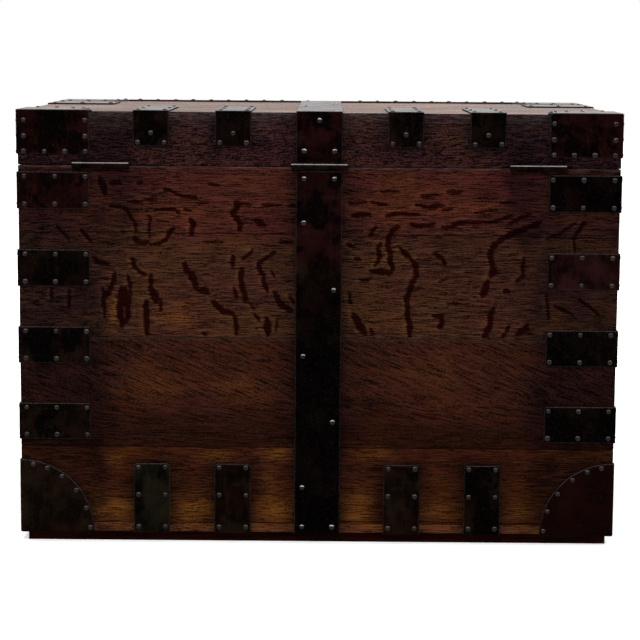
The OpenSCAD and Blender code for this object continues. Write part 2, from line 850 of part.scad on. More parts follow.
module bail(side) {
    arm_l = bail_drop - bail_bend;
    grip_half = arm_x - bail_bend;
    color(iron) on_face(side) translate([0, z_pivot, pivot_n]) {
        for (s = [-1, 1]) mirror([s < 0 ? 1 : 0, 0, 0]) {
            translate([ear_x - ear_l / 2, 0, 0]) rotate([0, 90, 0])
                cylinder(r = pivot_r, h = arm_x - ear_x + ear_l / 2);
            translate([arm_x, 0, 0]) sphere(r = bail_r);
            translate([arm_x, 0, 0]) rotate([90, 0, 0]) cylinder(r = bail_r, h = arm_l);
            translate([grip_half, -arm_l, 0]) rotate([0, 0, -90])
                rotate_extrude(angle = 90) translate([bail_bend, 0]) circle(r = bail_r);
        }
        translate([-grip_half, -bail_drop, 0]) rotate([0, 90, 0])
            cylinder(r = bail_r, h = 2 * grip_half);
    }
}

module left_handle() {
    bail(LEFT);
}

module right_handle() {
    bail(RIGHT);
}

// Lock: the frame of the front face is used, with y as the height and z towards the outside
lock_back = -board_t;
lock_front = lock_back + lock_d;
cavity_back = lock_back + lock_t;
cavity_front = lock_front - lock_t;
cavity_mid = (cavity_back + cavity_front) / 2;
rim_plate_in = 0.5;
rim_plate_out = 5;
rim_plate_back = rim_plate_in - board_t;
rim_plate_front = -rim_plate_out;
rim_screw_in = 5.5;
hole_h = 6;
hole_w = 5;
hole_top = 5;
finger_play = 0.5;
bar_top = staple_l + 1.5;
bar_h = 7;
rest_gap = 1.5;
post_l = 5;
post_from = staple_t / 2 + finger_play + bolt_throw;
slot_w = staple_t + 2;
bit_play = 1;
bow_ring = 4;
collar_gap = 1.5;
collar_out = 1.5;
collar_t = 2.5;

// A keyhole through a slab of the front, from one depth to another
module keyhole(from, to, play) {
    translate([0, z_key, from - over]) {
        cylinder(r = key_r + play, h = to - from + 2 * over);
        translate([-bit_t / 2 - play, -bit_r - play, 0])
            cube([bit_t + 2 * play, bit_r + play, to - from + 2 * over]);
    }
}

module rim_plate_bed(z) {
    translate([-rim_plate_w / 2 - nail_fit, z, rim_plate_back - nail_fit - over])
        cube([rim_plate_w + 2 * nail_fit, rim_plate_t + nail_fit + over,
            rim_plate_front - rim_plate_back + 2 * nail_fit + over]);
}

// Children are drawn at the two screws of the rim plate (s = -1) or of the link plate (s = 1)
module at_rim_screws(s) {
    for (k = [-1, 1])
        translate([k * (rim_plate_w / 2 - rim_screw_in), y_front + board_t / 2, s < 0 ? z_rim : z_lid])
            mirror([0, 0, s > 0 ? 1 : 0]) children();
}

module rim_screw_holes(s) {
    at_rim_screws(s) screw_hole();
}

// Open box with the rim plate on top and two slots for the staples
module lock_case() {
    color(steel) difference() {
        on_face(FRONT) difference() {
            union() {
                translate([-lock_w / 2, z_rim - lock_h, cavity_back])
                    cube([lock_w, lock_h, lock_front - cavity_back]);
                translate([-rim_plate_w / 2, z_rim - rim_plate_t, rim_plate_back])
                    cube([rim_plate_w, rim_plate_t, rim_plate_front - rim_plate_back]);
            }
            translate([-lock_w / 2 + lock_t, z_rim - lock_h + lock_t, cavity_back - over])
                cube([lock_w - 2 * lock_t, lock_h - lock_t - rim_plate_t, cavity_front - cavity_back + over]);
            for (s = [-1, 1]) translate([s * staple_x - slot_w / 2, z_rim - rim_plate_t - over, cavity_back])
                cube([slot_w, rim_plate_t + 2 * over, cavity_front - cavity_back]);
            keyhole(cavity_front, lock_front, nail_fit);
        }
        at_rim_screws(-1) screw_seat();
    }
}

// Plate that closes the lock case on the inside, with a bearing for the key's end
module lock_cap() {
    color(steel) on_face(FRONT) difference() {
        translate([-lock_w / 2, z_rim - lock_h, lock_back])
            cube([lock_w, lock_h - rim_plate_t - nail_fit, lock_t]);
        translate([0, z_key, lock_back - over]) cylinder(r = tip_r + nail_fit, h = lock_t + 2 * over);
    }
}

// Bar with two hooked fingers that pass through the staples, and a notch that the key's bit enters
tip_step = 0.6;
tip_r = key_r - tip_step;
bit_enter = key_down - bar_top - bar_h;
bit_side = sqrt(bit_r * bit_r - bit_enter * bit_enter);
bit_enter_turn = 180 - asin(bit_side / bit_r);
talon_from = bolt_throw - bit_t / 2 - finger_play;
talon_to = bit_side + bit_t + finger_play + bolt_throw * bit_enter_turn / 180;
module lock_bolt() {
    bar_play = 0.3;
    bar_from = -staple_x - 2;
    bar_to = staple_x + post_from + post_l;
    color(brass) on_face(FRONT) translate([0, z_rim, 0]) {
        difference() {
            translate([bar_from, -bar_top - bar_h, cavity_back + bar_play])
                cube([bar_to - bar_from, bar_h, cavity_front - cavity_back - 2 * bar_play]);
            translate([talon_from, -key_down, cavity_back - over])
                cube([talon_to - talon_from, bit_r + finger_play, cavity_front - cavity_back + 2 * over]);
        }
        for (s = [-1, 1]) translate([s * staple_x, 0, cavity_mid - hole_w / 2 + finger_play]) {
            translate([post_from, -bar_top - over, 0])
                cube([post_l, bar_top + over - hole_top - finger_play, hole_w - 2 * finger_play]);
            translate([staple_t / 2 + rest_gap, -hole_top - hole_h + finger_play, 0])
                cube([post_from - staple_t / 2 - rest_gap + over, hole_h - 2 * finger_play,
                    hole_w - 2 * finger_play]);
        }
    }
}

// Stem with a bit that turns in the case, a tip that turns in the cap, and a ring-shaped bow
module key() {
    color(steel) on_face(FRONT) translate([0, z_key, 0]) {
        translate([0, 0, cavity_back]) cylinder(r = key_r, h = stem_out + bow_weld - cavity_back);
        translate([0, 0, lock_back + nail_fit]) cylinder(r = tip_r, h = lock_t + over);
        translate([-bit_t / 2, -bit_r, cavity_back + bit_play])
            cube([bit_t, bit_r, cavity_front - cavity_back - 2 * bit_play]);
        translate([0, 0, iron_t + lock_t + collar_gap]) cylinder(r = key_r + collar_out, h = collar_t);
        translate([-bow_t / 2, 0, bow_out]) rotate([0, 90, 0]) difference() {
            cylinder(r = bow_r, h = bow_t);
            translate([0, 0, -over]) cylinder(r = bow_r - bow_ring, h = bow_t + 2 * over);
        }
    }
}

function escutcheon_spots() = [for (k = [-1, 1])
    [0, z_key - bit_r / 2 + key_r / 2 + k * escutcheon_half]];
module escutcheon() {
    mid = z_key - bit_r / 2 + key_r / 2;
    tall = 2 * (escutcheon_half + escutcheon_edge) - escutcheon_w / 2;
    color(brass) on_face(FRONT) difference() {
        translate([0, mid, iron_t]) {
            translate([-escutcheon_w / 2, -tall / 2 + escutcheon_w / 4, 0])
                cube([escutcheon_w, tall - escutcheon_w / 2, lock_t]);
            for (k = [-1, 1]) translate([0, k * (tall / 2 - escutcheon_w / 4), 0])
                cylinder(r = escutcheon_w / 2, h = lock_t);
        }
        nail_holes(escutcheon_spots(), iron_t + lock_t);
        keyhole(iron_t, iron_t + lock_t, fit);
    }
}

// Lid: three boards over a frame of four rim boards
module lid_top_boards() {
    third = (body_d - 2 * joint_gap) / 3;
    groove_t = lid_top_t / 3;
    color(oak) difference() {
        for (i = [0 : 2])
            translate([-body_w / 2, y_front + i * (third + joint_gap), z_lid_ceiling]) difference() {
            union() {
                cube([body_w, third, lid_top_t]);
                if (i < 2) translate([0, third - over, (lid_top_t - groove_t) / 2])
                    cube([body_w, tongue_h + over, groove_t]);
            }
            if (i > 0) translate([-over, -over, (lid_top_t - groove_t - fit) / 2])
                cube([body_w + 2 * over, tongue_h + over + fit, groove_t + fit]);
        }
        for (side = [FRONT, RIGHT, BACK, LEFT]) lid_holes(side);
        on_top() nail_holes(top_spots);
    }
}

module lid_long_rim(side) {
    on_face(side) translate([-body_w / 2, z_lid, -lid_rim_t])
        cube([body_w, z_lid_ceiling - z_lid, lid_rim_t]);
}

module lid_back_rim() {
    color(oak) difference() {
        lid_long_rim(BACK);
        for (side = [BACK, LEFT, RIGHT]) lid_holes(side);
        for (x = hinge_places) translate([x, 0, 0]) {
            translate([0, 0, -over]) leaf_bed(z_lid);
            screw_holes(1);
        }
    }
}

module lid_front_rim() {
    color(oak) difference() {
        lid_long_rim(FRONT);
        for (side = [FRONT, LEFT, RIGHT]) lid_holes(side);
        on_face(FRONT) rim_plate_bed(z_lid - over);
        rim_screw_holes(1);
    }
}

module lid_end_rim(side) {
    len = body_d - 2 * lid_rim_t;
    color(oak) difference() {
        on_face(side) translate([-len / 2, z_lid, -lid_rim_t])
            cube([len, z_lid_ceiling - z_lid, lid_rim_t]);
        lid_holes(side);
    }
}

module lid_left_rim() {
    lid_end_rim(LEFT);
}

module lid_right_rim() {
    lid_end_rim(RIGHT);
}

lid_lining_t = 2;
lid_lining_gap = 2;
lid_inner_w = body_w - 2 * lid_rim_t;
lid_inner_d = body_d - 2 * lid_rim_t;
module lid_lining() {
    h = z_lid_ceiling - lid_lining_t - joint_gap - z_lid - lid_lining_gap;
    color(baize) {
        translate([-lid_inner_w / 2, mid_y - lid_inner_d / 2, z_lid_ceiling - lid_lining_t])
            cube([lid_inner_w, lid_inner_d, lid_lining_t]);
        for (s = [-1, 1]) {
            translate([-lid_inner_w / 2, mid_y + s * (lid_inner_d - lid_lining_t) / 2 - lid_lining_t / 2,
                z_lid + lid_lining_gap]) cube([lid_inner_w, lid_lining_t, h]);
            translate([s * (lid_inner_w - lid_lining_t) / 2 - lid_lining_t / 2,
                mid_y - lid_inner_d / 2 + lid_lining_t + joint_gap, z_lid + lid_lining_gap])
                cube([lid_lining_t, lid_inner_d - 2 * lid_lining_t - 2 * joint_gap, h]);
        }
    }
}

// One strap over the whole lid, from the seam at the back to the seam at the front
module lid_centre_strap() {
    drop = lid_h - strap_gap;
    color(iron) difference() {
        on_face(BACK) bent_strip(strap_w, z_top) {
            over_edge(drop, body_d);
            translate([-body_d, 0]) mirror([1, 0]) over_edge(drop, over);
        }
        for (side = [FRONT, BACK]) on_face(side) nail_holes(lid_strap_face());
        on_top() nail_holes([for (p = top_spots) if (abs(p[0]) < strap_w / 2) p]);
    }
}

// A cap on a lid corner, in the corner's own frame: two flat legs and a quarter-round top
module lid_cap_solid() {
    translate([0, 0, z_top]) {
        translate([-corner_leg, 0, -lid_cap_drop]) cube([corner_leg, iron_t, lid_cap_drop]);
        translate([0, -corner_leg, -lid_cap_drop]) cube([iron_t, corner_leg, lid_cap_drop]);
        translate([0, 0, -lid_cap_drop]) linear_extrude(lid_cap_drop) bend_2d();
        mirror([0, 1, 0]) quarter_plate(lid_cap_r);
        translate([-corner_leg, 0, 0]) round_edge(corner_leg);
        rotate([0, 0, -90]) mirror([1, 0, 0]) translate([-corner_leg, 0, 0]) round_edge(corner_leg);
        round_corner();
    }
}

module lid_corner_caps() {
    color(iron) difference() {
        for (sx = [-1, 1], sy = [-1, 1]) at_corner(sx, sy) lid_cap_solid();
        for (side = [FRONT, RIGHT, BACK, LEFT]) on_face(side) nail_holes(lid_cap_spots(side));
        on_top() nail_holes([for (p = top_spots) if (abs(p[0]) > body_w / 2 - lid_cap_r
            && abs(p[1]) > body_d / 2 - lid_cap_r) p]);
    }
}

module lid_back_clips() {
    color(iron) difference() {
        on_face(BACK) for (x = clip_places(BACK)) translate([x, 0, 0])
            bent_strip(lid_clip_w, z_top) over_edge(lid_clip_drop, lid_clip_reach);
        on_face(BACK) nail_holes([for (x = clip_places(BACK)) each lid_clip_face(x, lid_clip_col)]);
        on_top() nail_holes([for (p = top_spots) if (p[1] > 0) p]);
    }
}

module lid_end_clips() {
    color(iron) for (side = [LEFT, RIGHT]) difference() {
        on_face(side) translate([end_clip_x(side), 0, 0])
            bent_strip(end_clip_w, z_top) over_edge(lid_clip_drop, corner_leg);
        on_face(side) nail_holes(lid_clip_face(end_clip_x(side), end_clip_w / 2 - nail_edge));
        on_top() nail_holes(keep_side(top_spots, side == RIGHT ? 1 : -1));
    }
}

// Angle strips along the lid's front edge, between the corner caps and the centre strap
module lid_edge_strips() {
    color(iron) difference() {
        on_face(FRONT) for (s = [-1, 1]) translate([s * (edge_from + edge_to) / 2, 0, 0])
            bent_strip(edge_to - edge_from, z_top) over_edge(edge_drop, edge_top);
        on_face(FRONT) nail_holes([for (x = edge_spots) [x, z_top - edge_drop / 2]]);
        on_top() nail_holes([for (x = edge_spots) [x, edge_top_row]]);
    }
}

module lid_nails() {
    color(steel) {
        for (side = [FRONT, RIGHT, BACK, LEFT]) on_face(side) nails(lid_spots(side));
        on_top() nails(top_spots);
    }
}

// Screws of the hinges and of the link plate, all in the lid
module lid_screws() {
    color(steel) {
        for (x = hinge_places) translate([x, 0, 0]) at_leaf_screws(1) screw();
        at_rim_screws(1) screw();
    }
}

// Plate under the lid's front rim with two staples, each with an opening for a finger of the bolt
module lock_link_plate() {
    side_play = 0.5;
    color(steel) difference() {
        on_face(FRONT) {
            translate([-rim_plate_w / 2, z_lid, rim_plate_back])
                cube([rim_plate_w, rim_plate_t, rim_plate_front - rim_plate_back]);
            for (s = [-1, 1]) difference() {
                translate([s * staple_x - staple_t / 2, z_rim - staple_l, cavity_back + side_play])
                    cube([staple_t, staple_l + seam_gap + over, cavity_front - cavity_back - 2 * side_play]);
                translate([s * staple_x - staple_t / 2 - over, z_rim - hole_top - hole_h,
                    cavity_mid - hole_w / 2]) cube([staple_t + 2 * over, hole_h, hole_w]);
            }
        }
        at_rim_screws(1) screw_seat();
    }
}

// Tray: four sides round a bottom, with one long divider and cross dividers at the back of it
tray_in_w = tray_w - 2 * tray_side_t;
tray_in_d = tray_d - 2 * tray_side_t;
tray_lining_t = 1.5;
tray_floor = tray_z + tray_bottom_t + tray_lining_t;
long_divider_y = mid_y - tray_in_d / 6;
divider_down = 12;
divider_h = tray_h - tray_bottom_t - tray_lining_t - divider_down;
grip_w = 96;
grip_h = 24;
grip_down = 16;
module tray_sides() {
    grip_z = tray_z + tray_h - grip_down - grip_h / 2;
    color(oak) {
        for (s = [-1, 1]) {
            translate([-tray_w / 2, mid_y + s * (tray_d - tray_side_t) / 2 - tray_side_t / 2, tray_z])
                cube([tray_w, tray_side_t, tray_h]);
            difference() {
                translate([s * (tray_w - tray_side_t) / 2 - tray_side_t / 2,
                    mid_y - tray_in_d / 2 + joint_gap, tray_z])
                    cube([tray_side_t, tray_in_d - 2 * joint_gap, tray_h]);
                translate([s * tray_w / 2 - 2 * tray_side_t, mid_y, grip_z]) rotate([0, 90, 0])
                    linear_extrude(4 * tray_side_t) {
                        square([grip_h, grip_w - grip_h], center = true);
                        for (k = [-1, 1]) translate([0, k * (grip_w - grip_h) / 2]) circle(r = grip_h / 2);
                    }
            }
        }
    }
}

module tray_bottom() {
    color(oak) translate([-tray_in_w / 2, mid_y - tray_in_d / 2, tray_z])
        cube([tray_in_w, tray_in_d, tray_bottom_t]);
}

module tray_dividers() {
    back_l = mid_y + tray_in_d / 2 - long_divider_y - divider_t / 2 - joint_gap;
    color(oak) {
        translate([-tray_in_w / 2, long_divider_y - divider_t / 2, tray_floor])
            cube([tray_in_w, divider_t, divider_h]);
        for (i = [1 : divider_count])
            translate([-tray_in_w / 2 + i * tray_in_w / (divider_count + 1) - divider_t / 2,
                long_divider_y + divider_t / 2 + joint_gap, tray_floor])
                cube([divider_t, back_l - joint_gap, divider_h]);
    }
}

module tray_lining() {
    color(baize) translate([-tray_in_w / 2, mid_y - tray_in_d / 2, tray_z + tray_bottom_t])
        cube([tray_in_w, tray_in_d, tray_lining_t]);
}

back_upper_board();
back_middle_board();
back_lower_board();
front_upper_board();
front_middle_board();
front_lower_board();
left_end_boards();
right_end_boards();
bottom_boards();
plinth_rails();
chest_lining();
tray_runners();
back_centre_strap();
front_centre_strap();
back_left_corner_plates();
back_right_corner_plates();
front_left_corner_plates();
front_right_corner_plates();
back_left_base_cap();
back_right_base_cap();
front_left_base_cap();
front_right_base_cap();
back_base_clips();
front_base_clips();
end_base_clips();
back_nails();
front_nails();
left_nails();
right_nails();
hinge_body_leaves();
hinge_pins();
chest_screws();
left_handle_plate();
right_handle_plate();
left_handle();
right_handle();
lock_case();
lock_cap();
lock_bolt();
key();
escutcheon();
lid_top_boards();
lid_back_rim();
lid_front_rim();
lid_left_rim();
lid_right_rim();
lid_lining();
lid_centre_strap();
lid_corner_caps();
lid_back_clips();
lid_end_clips();
lid_edge_strips();
lid_nails();
hinge_lid_leaves();
lid_screws();
lock_link_plate();
tray_sides();
tray_bottom();
tray_dividers();
tray_lining();
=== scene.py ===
import math

import bpy
import numpy as np
from mathutils import Matrix, Vector


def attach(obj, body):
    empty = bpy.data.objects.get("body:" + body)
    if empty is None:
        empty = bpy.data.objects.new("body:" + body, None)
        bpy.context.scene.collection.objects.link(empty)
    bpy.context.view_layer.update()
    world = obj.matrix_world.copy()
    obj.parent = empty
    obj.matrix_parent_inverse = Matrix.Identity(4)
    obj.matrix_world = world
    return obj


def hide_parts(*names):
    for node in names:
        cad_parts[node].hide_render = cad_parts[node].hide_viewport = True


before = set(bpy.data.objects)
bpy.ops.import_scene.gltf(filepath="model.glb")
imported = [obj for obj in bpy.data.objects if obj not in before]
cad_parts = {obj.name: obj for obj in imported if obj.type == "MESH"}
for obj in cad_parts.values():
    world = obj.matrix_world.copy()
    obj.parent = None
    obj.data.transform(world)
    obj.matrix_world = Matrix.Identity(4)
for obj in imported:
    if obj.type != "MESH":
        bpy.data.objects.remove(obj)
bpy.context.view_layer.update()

# Sizes of the chest in millimetres. Faces are numbered front, right, back, left.
MM = 0.001
FRONT, RIGHT, BACK, LEFT = FACES = range(4)
BODY_W, BODY_D, MID_Y = 910.0, 605.0, 12.625
X_ENDS, Y_FRONT, Y_BACK = (-BODY_W / 2, BODY_W / 2), MID_Y - BODY_D / 2, MID_Y + BODY_D / 2
Z_BASE, Z_WALL, Z_RIM, Z_SEAM, Z_LID, Z_TOP = 16.0, 30.0, 579.6, 580.0, 580.4, 661.5
BOARD_T, LID_TOP_T, IRON_T, BRASS_T, HANDLE_T = 22.0, 16.0, 2.5, 2.0, 3.0
Z_CEILING = Z_TOP - LID_TOP_T
JOINT_GAP, STRAP_GAP, IRON_GAP = 0.2, 5.5, 0.5
Z_BACK_LOW, Z_BACK_MIDDLE, Z_FRONT_LOW, Z_FRONT_MIDDLE = (Z_BASE + h for h in (133, 302.5, 176, 372))
Z_END_LOW = Z_BASE + 268
LEG, PLATE_H, CAP_R, LIP = 108.0, 56.0, 112.0, 7.0
PLATE_FIRST, PLATE_PITCH = 38, 118
CORNER_Z = [Z_SEAM - PLATE_FIRST - PLATE_PITCH * i for i in range(4)]
CLIPS_AT, END_CLIPS_AT = (-254, -130, 130, 254), (-92, 92)
CLIP_W, CLIP_H, STRAP_W, STRAP_H = 56.0, 107.0, 70.0, Z_SEAM - Z_BASE
STRAP_SHORT = 1.2        # how much lower than its solid the body's strap ends
LID_CAP_DROP, LID_CLIP_W, LID_CLIP_DROP, LID_CLIP_REACH = 65.0, 54.0, 52.0, 208.0
END_CLIP_W, END_CLIP_BACK = 118.0, 410.0
EDGE_TOP, EDGE_DROP, EDGE_PITCH, EDGE_FIRST = 30.0, 24.0, 31.8, 34.5
EDGE_FROM, EDGE_TO = STRAP_W / 2 + IRON_GAP, BODY_W / 2 - CAP_R - IRON_GAP
Z_KEY, BIT_R, KEY_R, KEY_NAIL = 543.6, 16.0, 3.0, 7
Z_PIVOT, HANDLE_W, HANDLE_H, HANDLE_NAIL = 356.0, 176.0, 58.0, 9.0

# Nails: their heads, and how far in from an edge or a corner they stand
NAIL_R, NAIL_RISE, NAIL_SINK, NAIL_TILT, NAIL_UNEVEN, NAIL_DEPTH = 4.0, 2.0, 0.4, 0.14, 0.9, 0.15
NAIL_SPIN, NAIL_SMALL, NAIL_LARGE, NAIL_LUMPS, NAIL_SEED = 6.28, 0.96, 1.12, 230.0, 7
NAIL_INSET, NAIL_EDGE = 9.5, 6.0
LEG_STEPS = (NAIL_INSET, (NAIL_INSET + LEG - NAIL_EDGE) / 2, LEG - NAIL_EDGE)
STRAP_COL, CLIP_COL, LID_CLIP_COL = STRAP_W / 2 - NAIL_EDGE - 6, CLIP_W / 2 - NAIL_EDGE - 1.5, \
    LID_CLIP_W / 2 - NAIL_EDGE - 1

# Iron: the bend round an edge of the wood, its own rounded edges, how far in from them it is lightened, as
# rubbed wear and as a painted highlight where the edge faces up, and the dents are faint, the dents' depth,
# the thin air under it, and how much lower than its solid it stays
ARC, EDGE_R, RUBBED_AND_LIT, FAINT, DENT, CLEAR, SHY = 1.2, 1.1, 1.5, 5, 0.30, 0.04, 0.1
# The steps of its mesh, and how far off an edge lies that isn't rounded
IRON_STEP, IRON_MARGIN, LIP_STEP, LIP_RISE, OFF = 4.0, 2.2, 6.0, 0.5, 9

# Boards: their worn edges and the waves in their faces. Glosses of wood, of iron and of the lid's top.
WEAR_R, LID_WEAR_R, WAVE = 1.2, 0.5, 0.35
WOOD_GLOSS, IRON_GLOSS, TOP_GLOSS = 0.007, 0.003, 0.21

BOTH = (-1, 1)
CORNERS = [(sx, sy) for sx in BOTH for sy in BOTH]


def half_of(side):
    return (BODY_W if side % 2 == 0 else BODY_D) / 2


def on_face(side, u, z, n):
    """Points of a face's own frame, u along it and n outwards from the wood, in the model's frame."""
    u, z, n = np.broadcast_arrays(np.asarray(u, float), z, n)
    out = (BODY_D if side % 2 == 0 else BODY_W) / 2 + n
    x, y = ((u, -out), (out, u), (-u, out), (-out, -u))[side]
    return np.stack([x, y + MID_Y, z], -1)


def along_face(side, x, y):
    """The coordinate along a face of points in the model's frame."""
    return (x, y - MID_Y, -x, MID_Y - y)[side]


# Noise on numbers, for shapes and for patterns kept on the vertices
def lattice(i, j, seed):
    h = np.sin(i * 127.1 + j * 311.7 + seed * 74.7) * 43758.5453
    return h - np.floor(h)


def noise(u, v, seed=0):
    i, j = np.floor(u), np.floor(v)
    a, b = u - i, v - j
    a, b = a * a * (3 - 2 * a), b * b * (3 - 2 * b)
    low = lattice(i, j, seed) * (1 - a) + lattice(i + 1, j, seed) * a
    high = lattice(i, j + 1, seed) * (1 - a) + lattice(i + 1, j + 1, seed) * a
    return low * (1 - b) + high * b


def rough(u, v, seed=0, octaves=3):
    total = sum(noise(u * 2 ** k, v * 2 ** k, seed + 5 * k) / 2 ** k for k in range(octaves))
    return total / (2 - 2 ** (1 - octaves))


def ease(v, low, high):
    t = np.clip((v - low) / (high - low), 0, 1)
    return t * t * (3 - 2 * t)


# Node trees
class Val:
    """A socket of a node tree. Operators add Math nodes."""

    def __init__(self, graph, socket):
        self.graph, self.socket = graph, socket

    def math(self, operation, a, b=0.0):
        return self.graph.node("ShaderNodeMath", {0: a, 1: b}, operation=operation)

    def __add__(self, other):
        return self.math("ADD", self, other)

    def __sub__(self, other):
        return self.math("SUBTRACT", self, other)

    def __rsub__(self, other):
        return self.math("SUBTRACT", other, self)

    def __mul__(self, other):
        return self.math("MULTIPLY", self, other)

    def __abs__(self):
        return self.math("ABSOLUTE", self)


class Graph:
    """A node tree, filled node by node."""

    def __init__(self, tree):
        self.tree = tree

    def node(self, kind, sockets=None, out=0, **settings):
        """Adds a node. Each of its inputs is a constant or the Val that feeds it."""
        made = self.tree.nodes.new(kind)
        for key, value in settings.items():
            setattr(made, key, value)
        for key, value in (sockets or {}).items():
            if isinstance(value, Val):
                self.tree.links.new(value.socket, made.inputs[key])
            else:
                made.inputs[key].default_value = value
        return Val(self, made.outputs[out]) if len(made.outputs) else None

    def outputs(self, val):
        """All outputs of the node that a Val comes from, by name."""
        return {socket.name: Val(self, socket) for socket in val.socket.node.outputs}

    def xyz(self, x, y, z):
        return self.node("ShaderNodeCombineXYZ", {0: x, 1: y, 2: z})

    def axes(self, place):
        return tuple(self.outputs(self.node("ShaderNodeSeparateXYZ", {0: place})).values())


class Finish(Graph):
    """A material, and the nodes that paint it."""

    def __init__(self, name, gloss, **fixed):
        self.mat = bpy.data.materials.new(name)
        self.mat.use_nodes = True
        super().__init__(self.mat.node_tree)
        self.tree.nodes.clear()
        surface = self.node("ShaderNodeBsdfPrincipled", {"Specular IOR Level": gloss})
        self.node("ShaderNodeOutputMaterial", {"Surface": surface})
        self.inputs = surface.socket.node.inputs
        for key, value in fixed.items():
            self.inputs[key.replace("_", " ").title()].default_value = value
        self.place = self.node("ShaderNodeTexCoord", out="Object")

    def feed(self, colour, roughness, normal):
        """Paints the surface and hands back the material."""
        for key, value in (("Base Color", colour), ("Roughness", roughness), ("Normal", normal)):
            self.tree.links.new(value.socket, self.inputs[key])
        return self.mat

    def noise(self, size, detail=2.0, roughness=0.5, bend=0.0, shift=(0, 0, 0), place=None):
        """Noise with this many lumps to the metre, one number or three."""
        size = size if isinstance(size, (tuple, list)) else (size,) * 3
        place = self.node("ShaderNodeMapping", {"Vector": place or self.place, "Scale": size,
                                                "Location": shift})
        return self.node("ShaderNodeTexNoise", {"Vector": place, "Scale": 1.0, "Detail": detail,
                                                "Roughness": roughness, "Distortion": bend})

    def ease(self, value, low, high, start=0.0, end=1.0):
        return self.node("ShaderNodeMapRange", {"Value": value, "From Min": low, "From Max": high,
                                                "To Min": start, "To Max": end},
                         interpolation_type="SMOOTHSTEP", clamp=True)

    def mix(self, amount, a, b, blend="MIX"):
        a, b = ((*c, 1) if isinstance(c, tuple) else c for c in (a, b))
        return self.node("ShaderNodeMix", {0: amount, 6: a, 7: b}, out=2, data_type="RGBA",
                         blend_type=blend, clamp_factor=True)

    def lay(self, colour, tone, value, low, high, share=None):
        """Lays a tone over a colour where a value is high."""
        amount = self.ease(value, low, high)
        return self.mix(amount if share is None else amount * share, colour, tone)

    def kept(self, name):
        return self.node("ShaderNodeAttribute", out="Fac", attribute_name=name)

    def upward(self):
        """How far a surface faces up, from -1 to 1."""
        return self.axes(self.node("ShaderNodeTexCoord", out="Normal"))[2]

    def bump(self, height, depth, strength=1.0, normal=None):
        below = {"Normal": normal} if normal else {}
        below.update({"Height": height, "Distance": depth, "Strength": strength})
        return self.node("ShaderNodeBump", below)


def shade(colour, by):
    """A colour times a number, or times another colour."""
    return tuple(c * k for c, k in zip(colour, by if isinstance(by, tuple) else (by,) * 3))


GLOW_LIGHT, GLOW_DARK = (0.175, 0.060, 0.011), (0.026, 0.006, 0.0015)
RAY_RED, RAY_DEEP, RAY_HIGHLIGHT = (0.0104, 0.0007, 0.0003), (0.0040, 0.0004, 0.0002), (1.45, 1.50, 1.35)
STAIN_BLUE, DUST_AND_HIGHLIGHT_GREY = (0.34, 0.40, 0.56), (0.120, 0.098, 0.090)
SWAY, SLANT_FADE = 0.020, 0.012


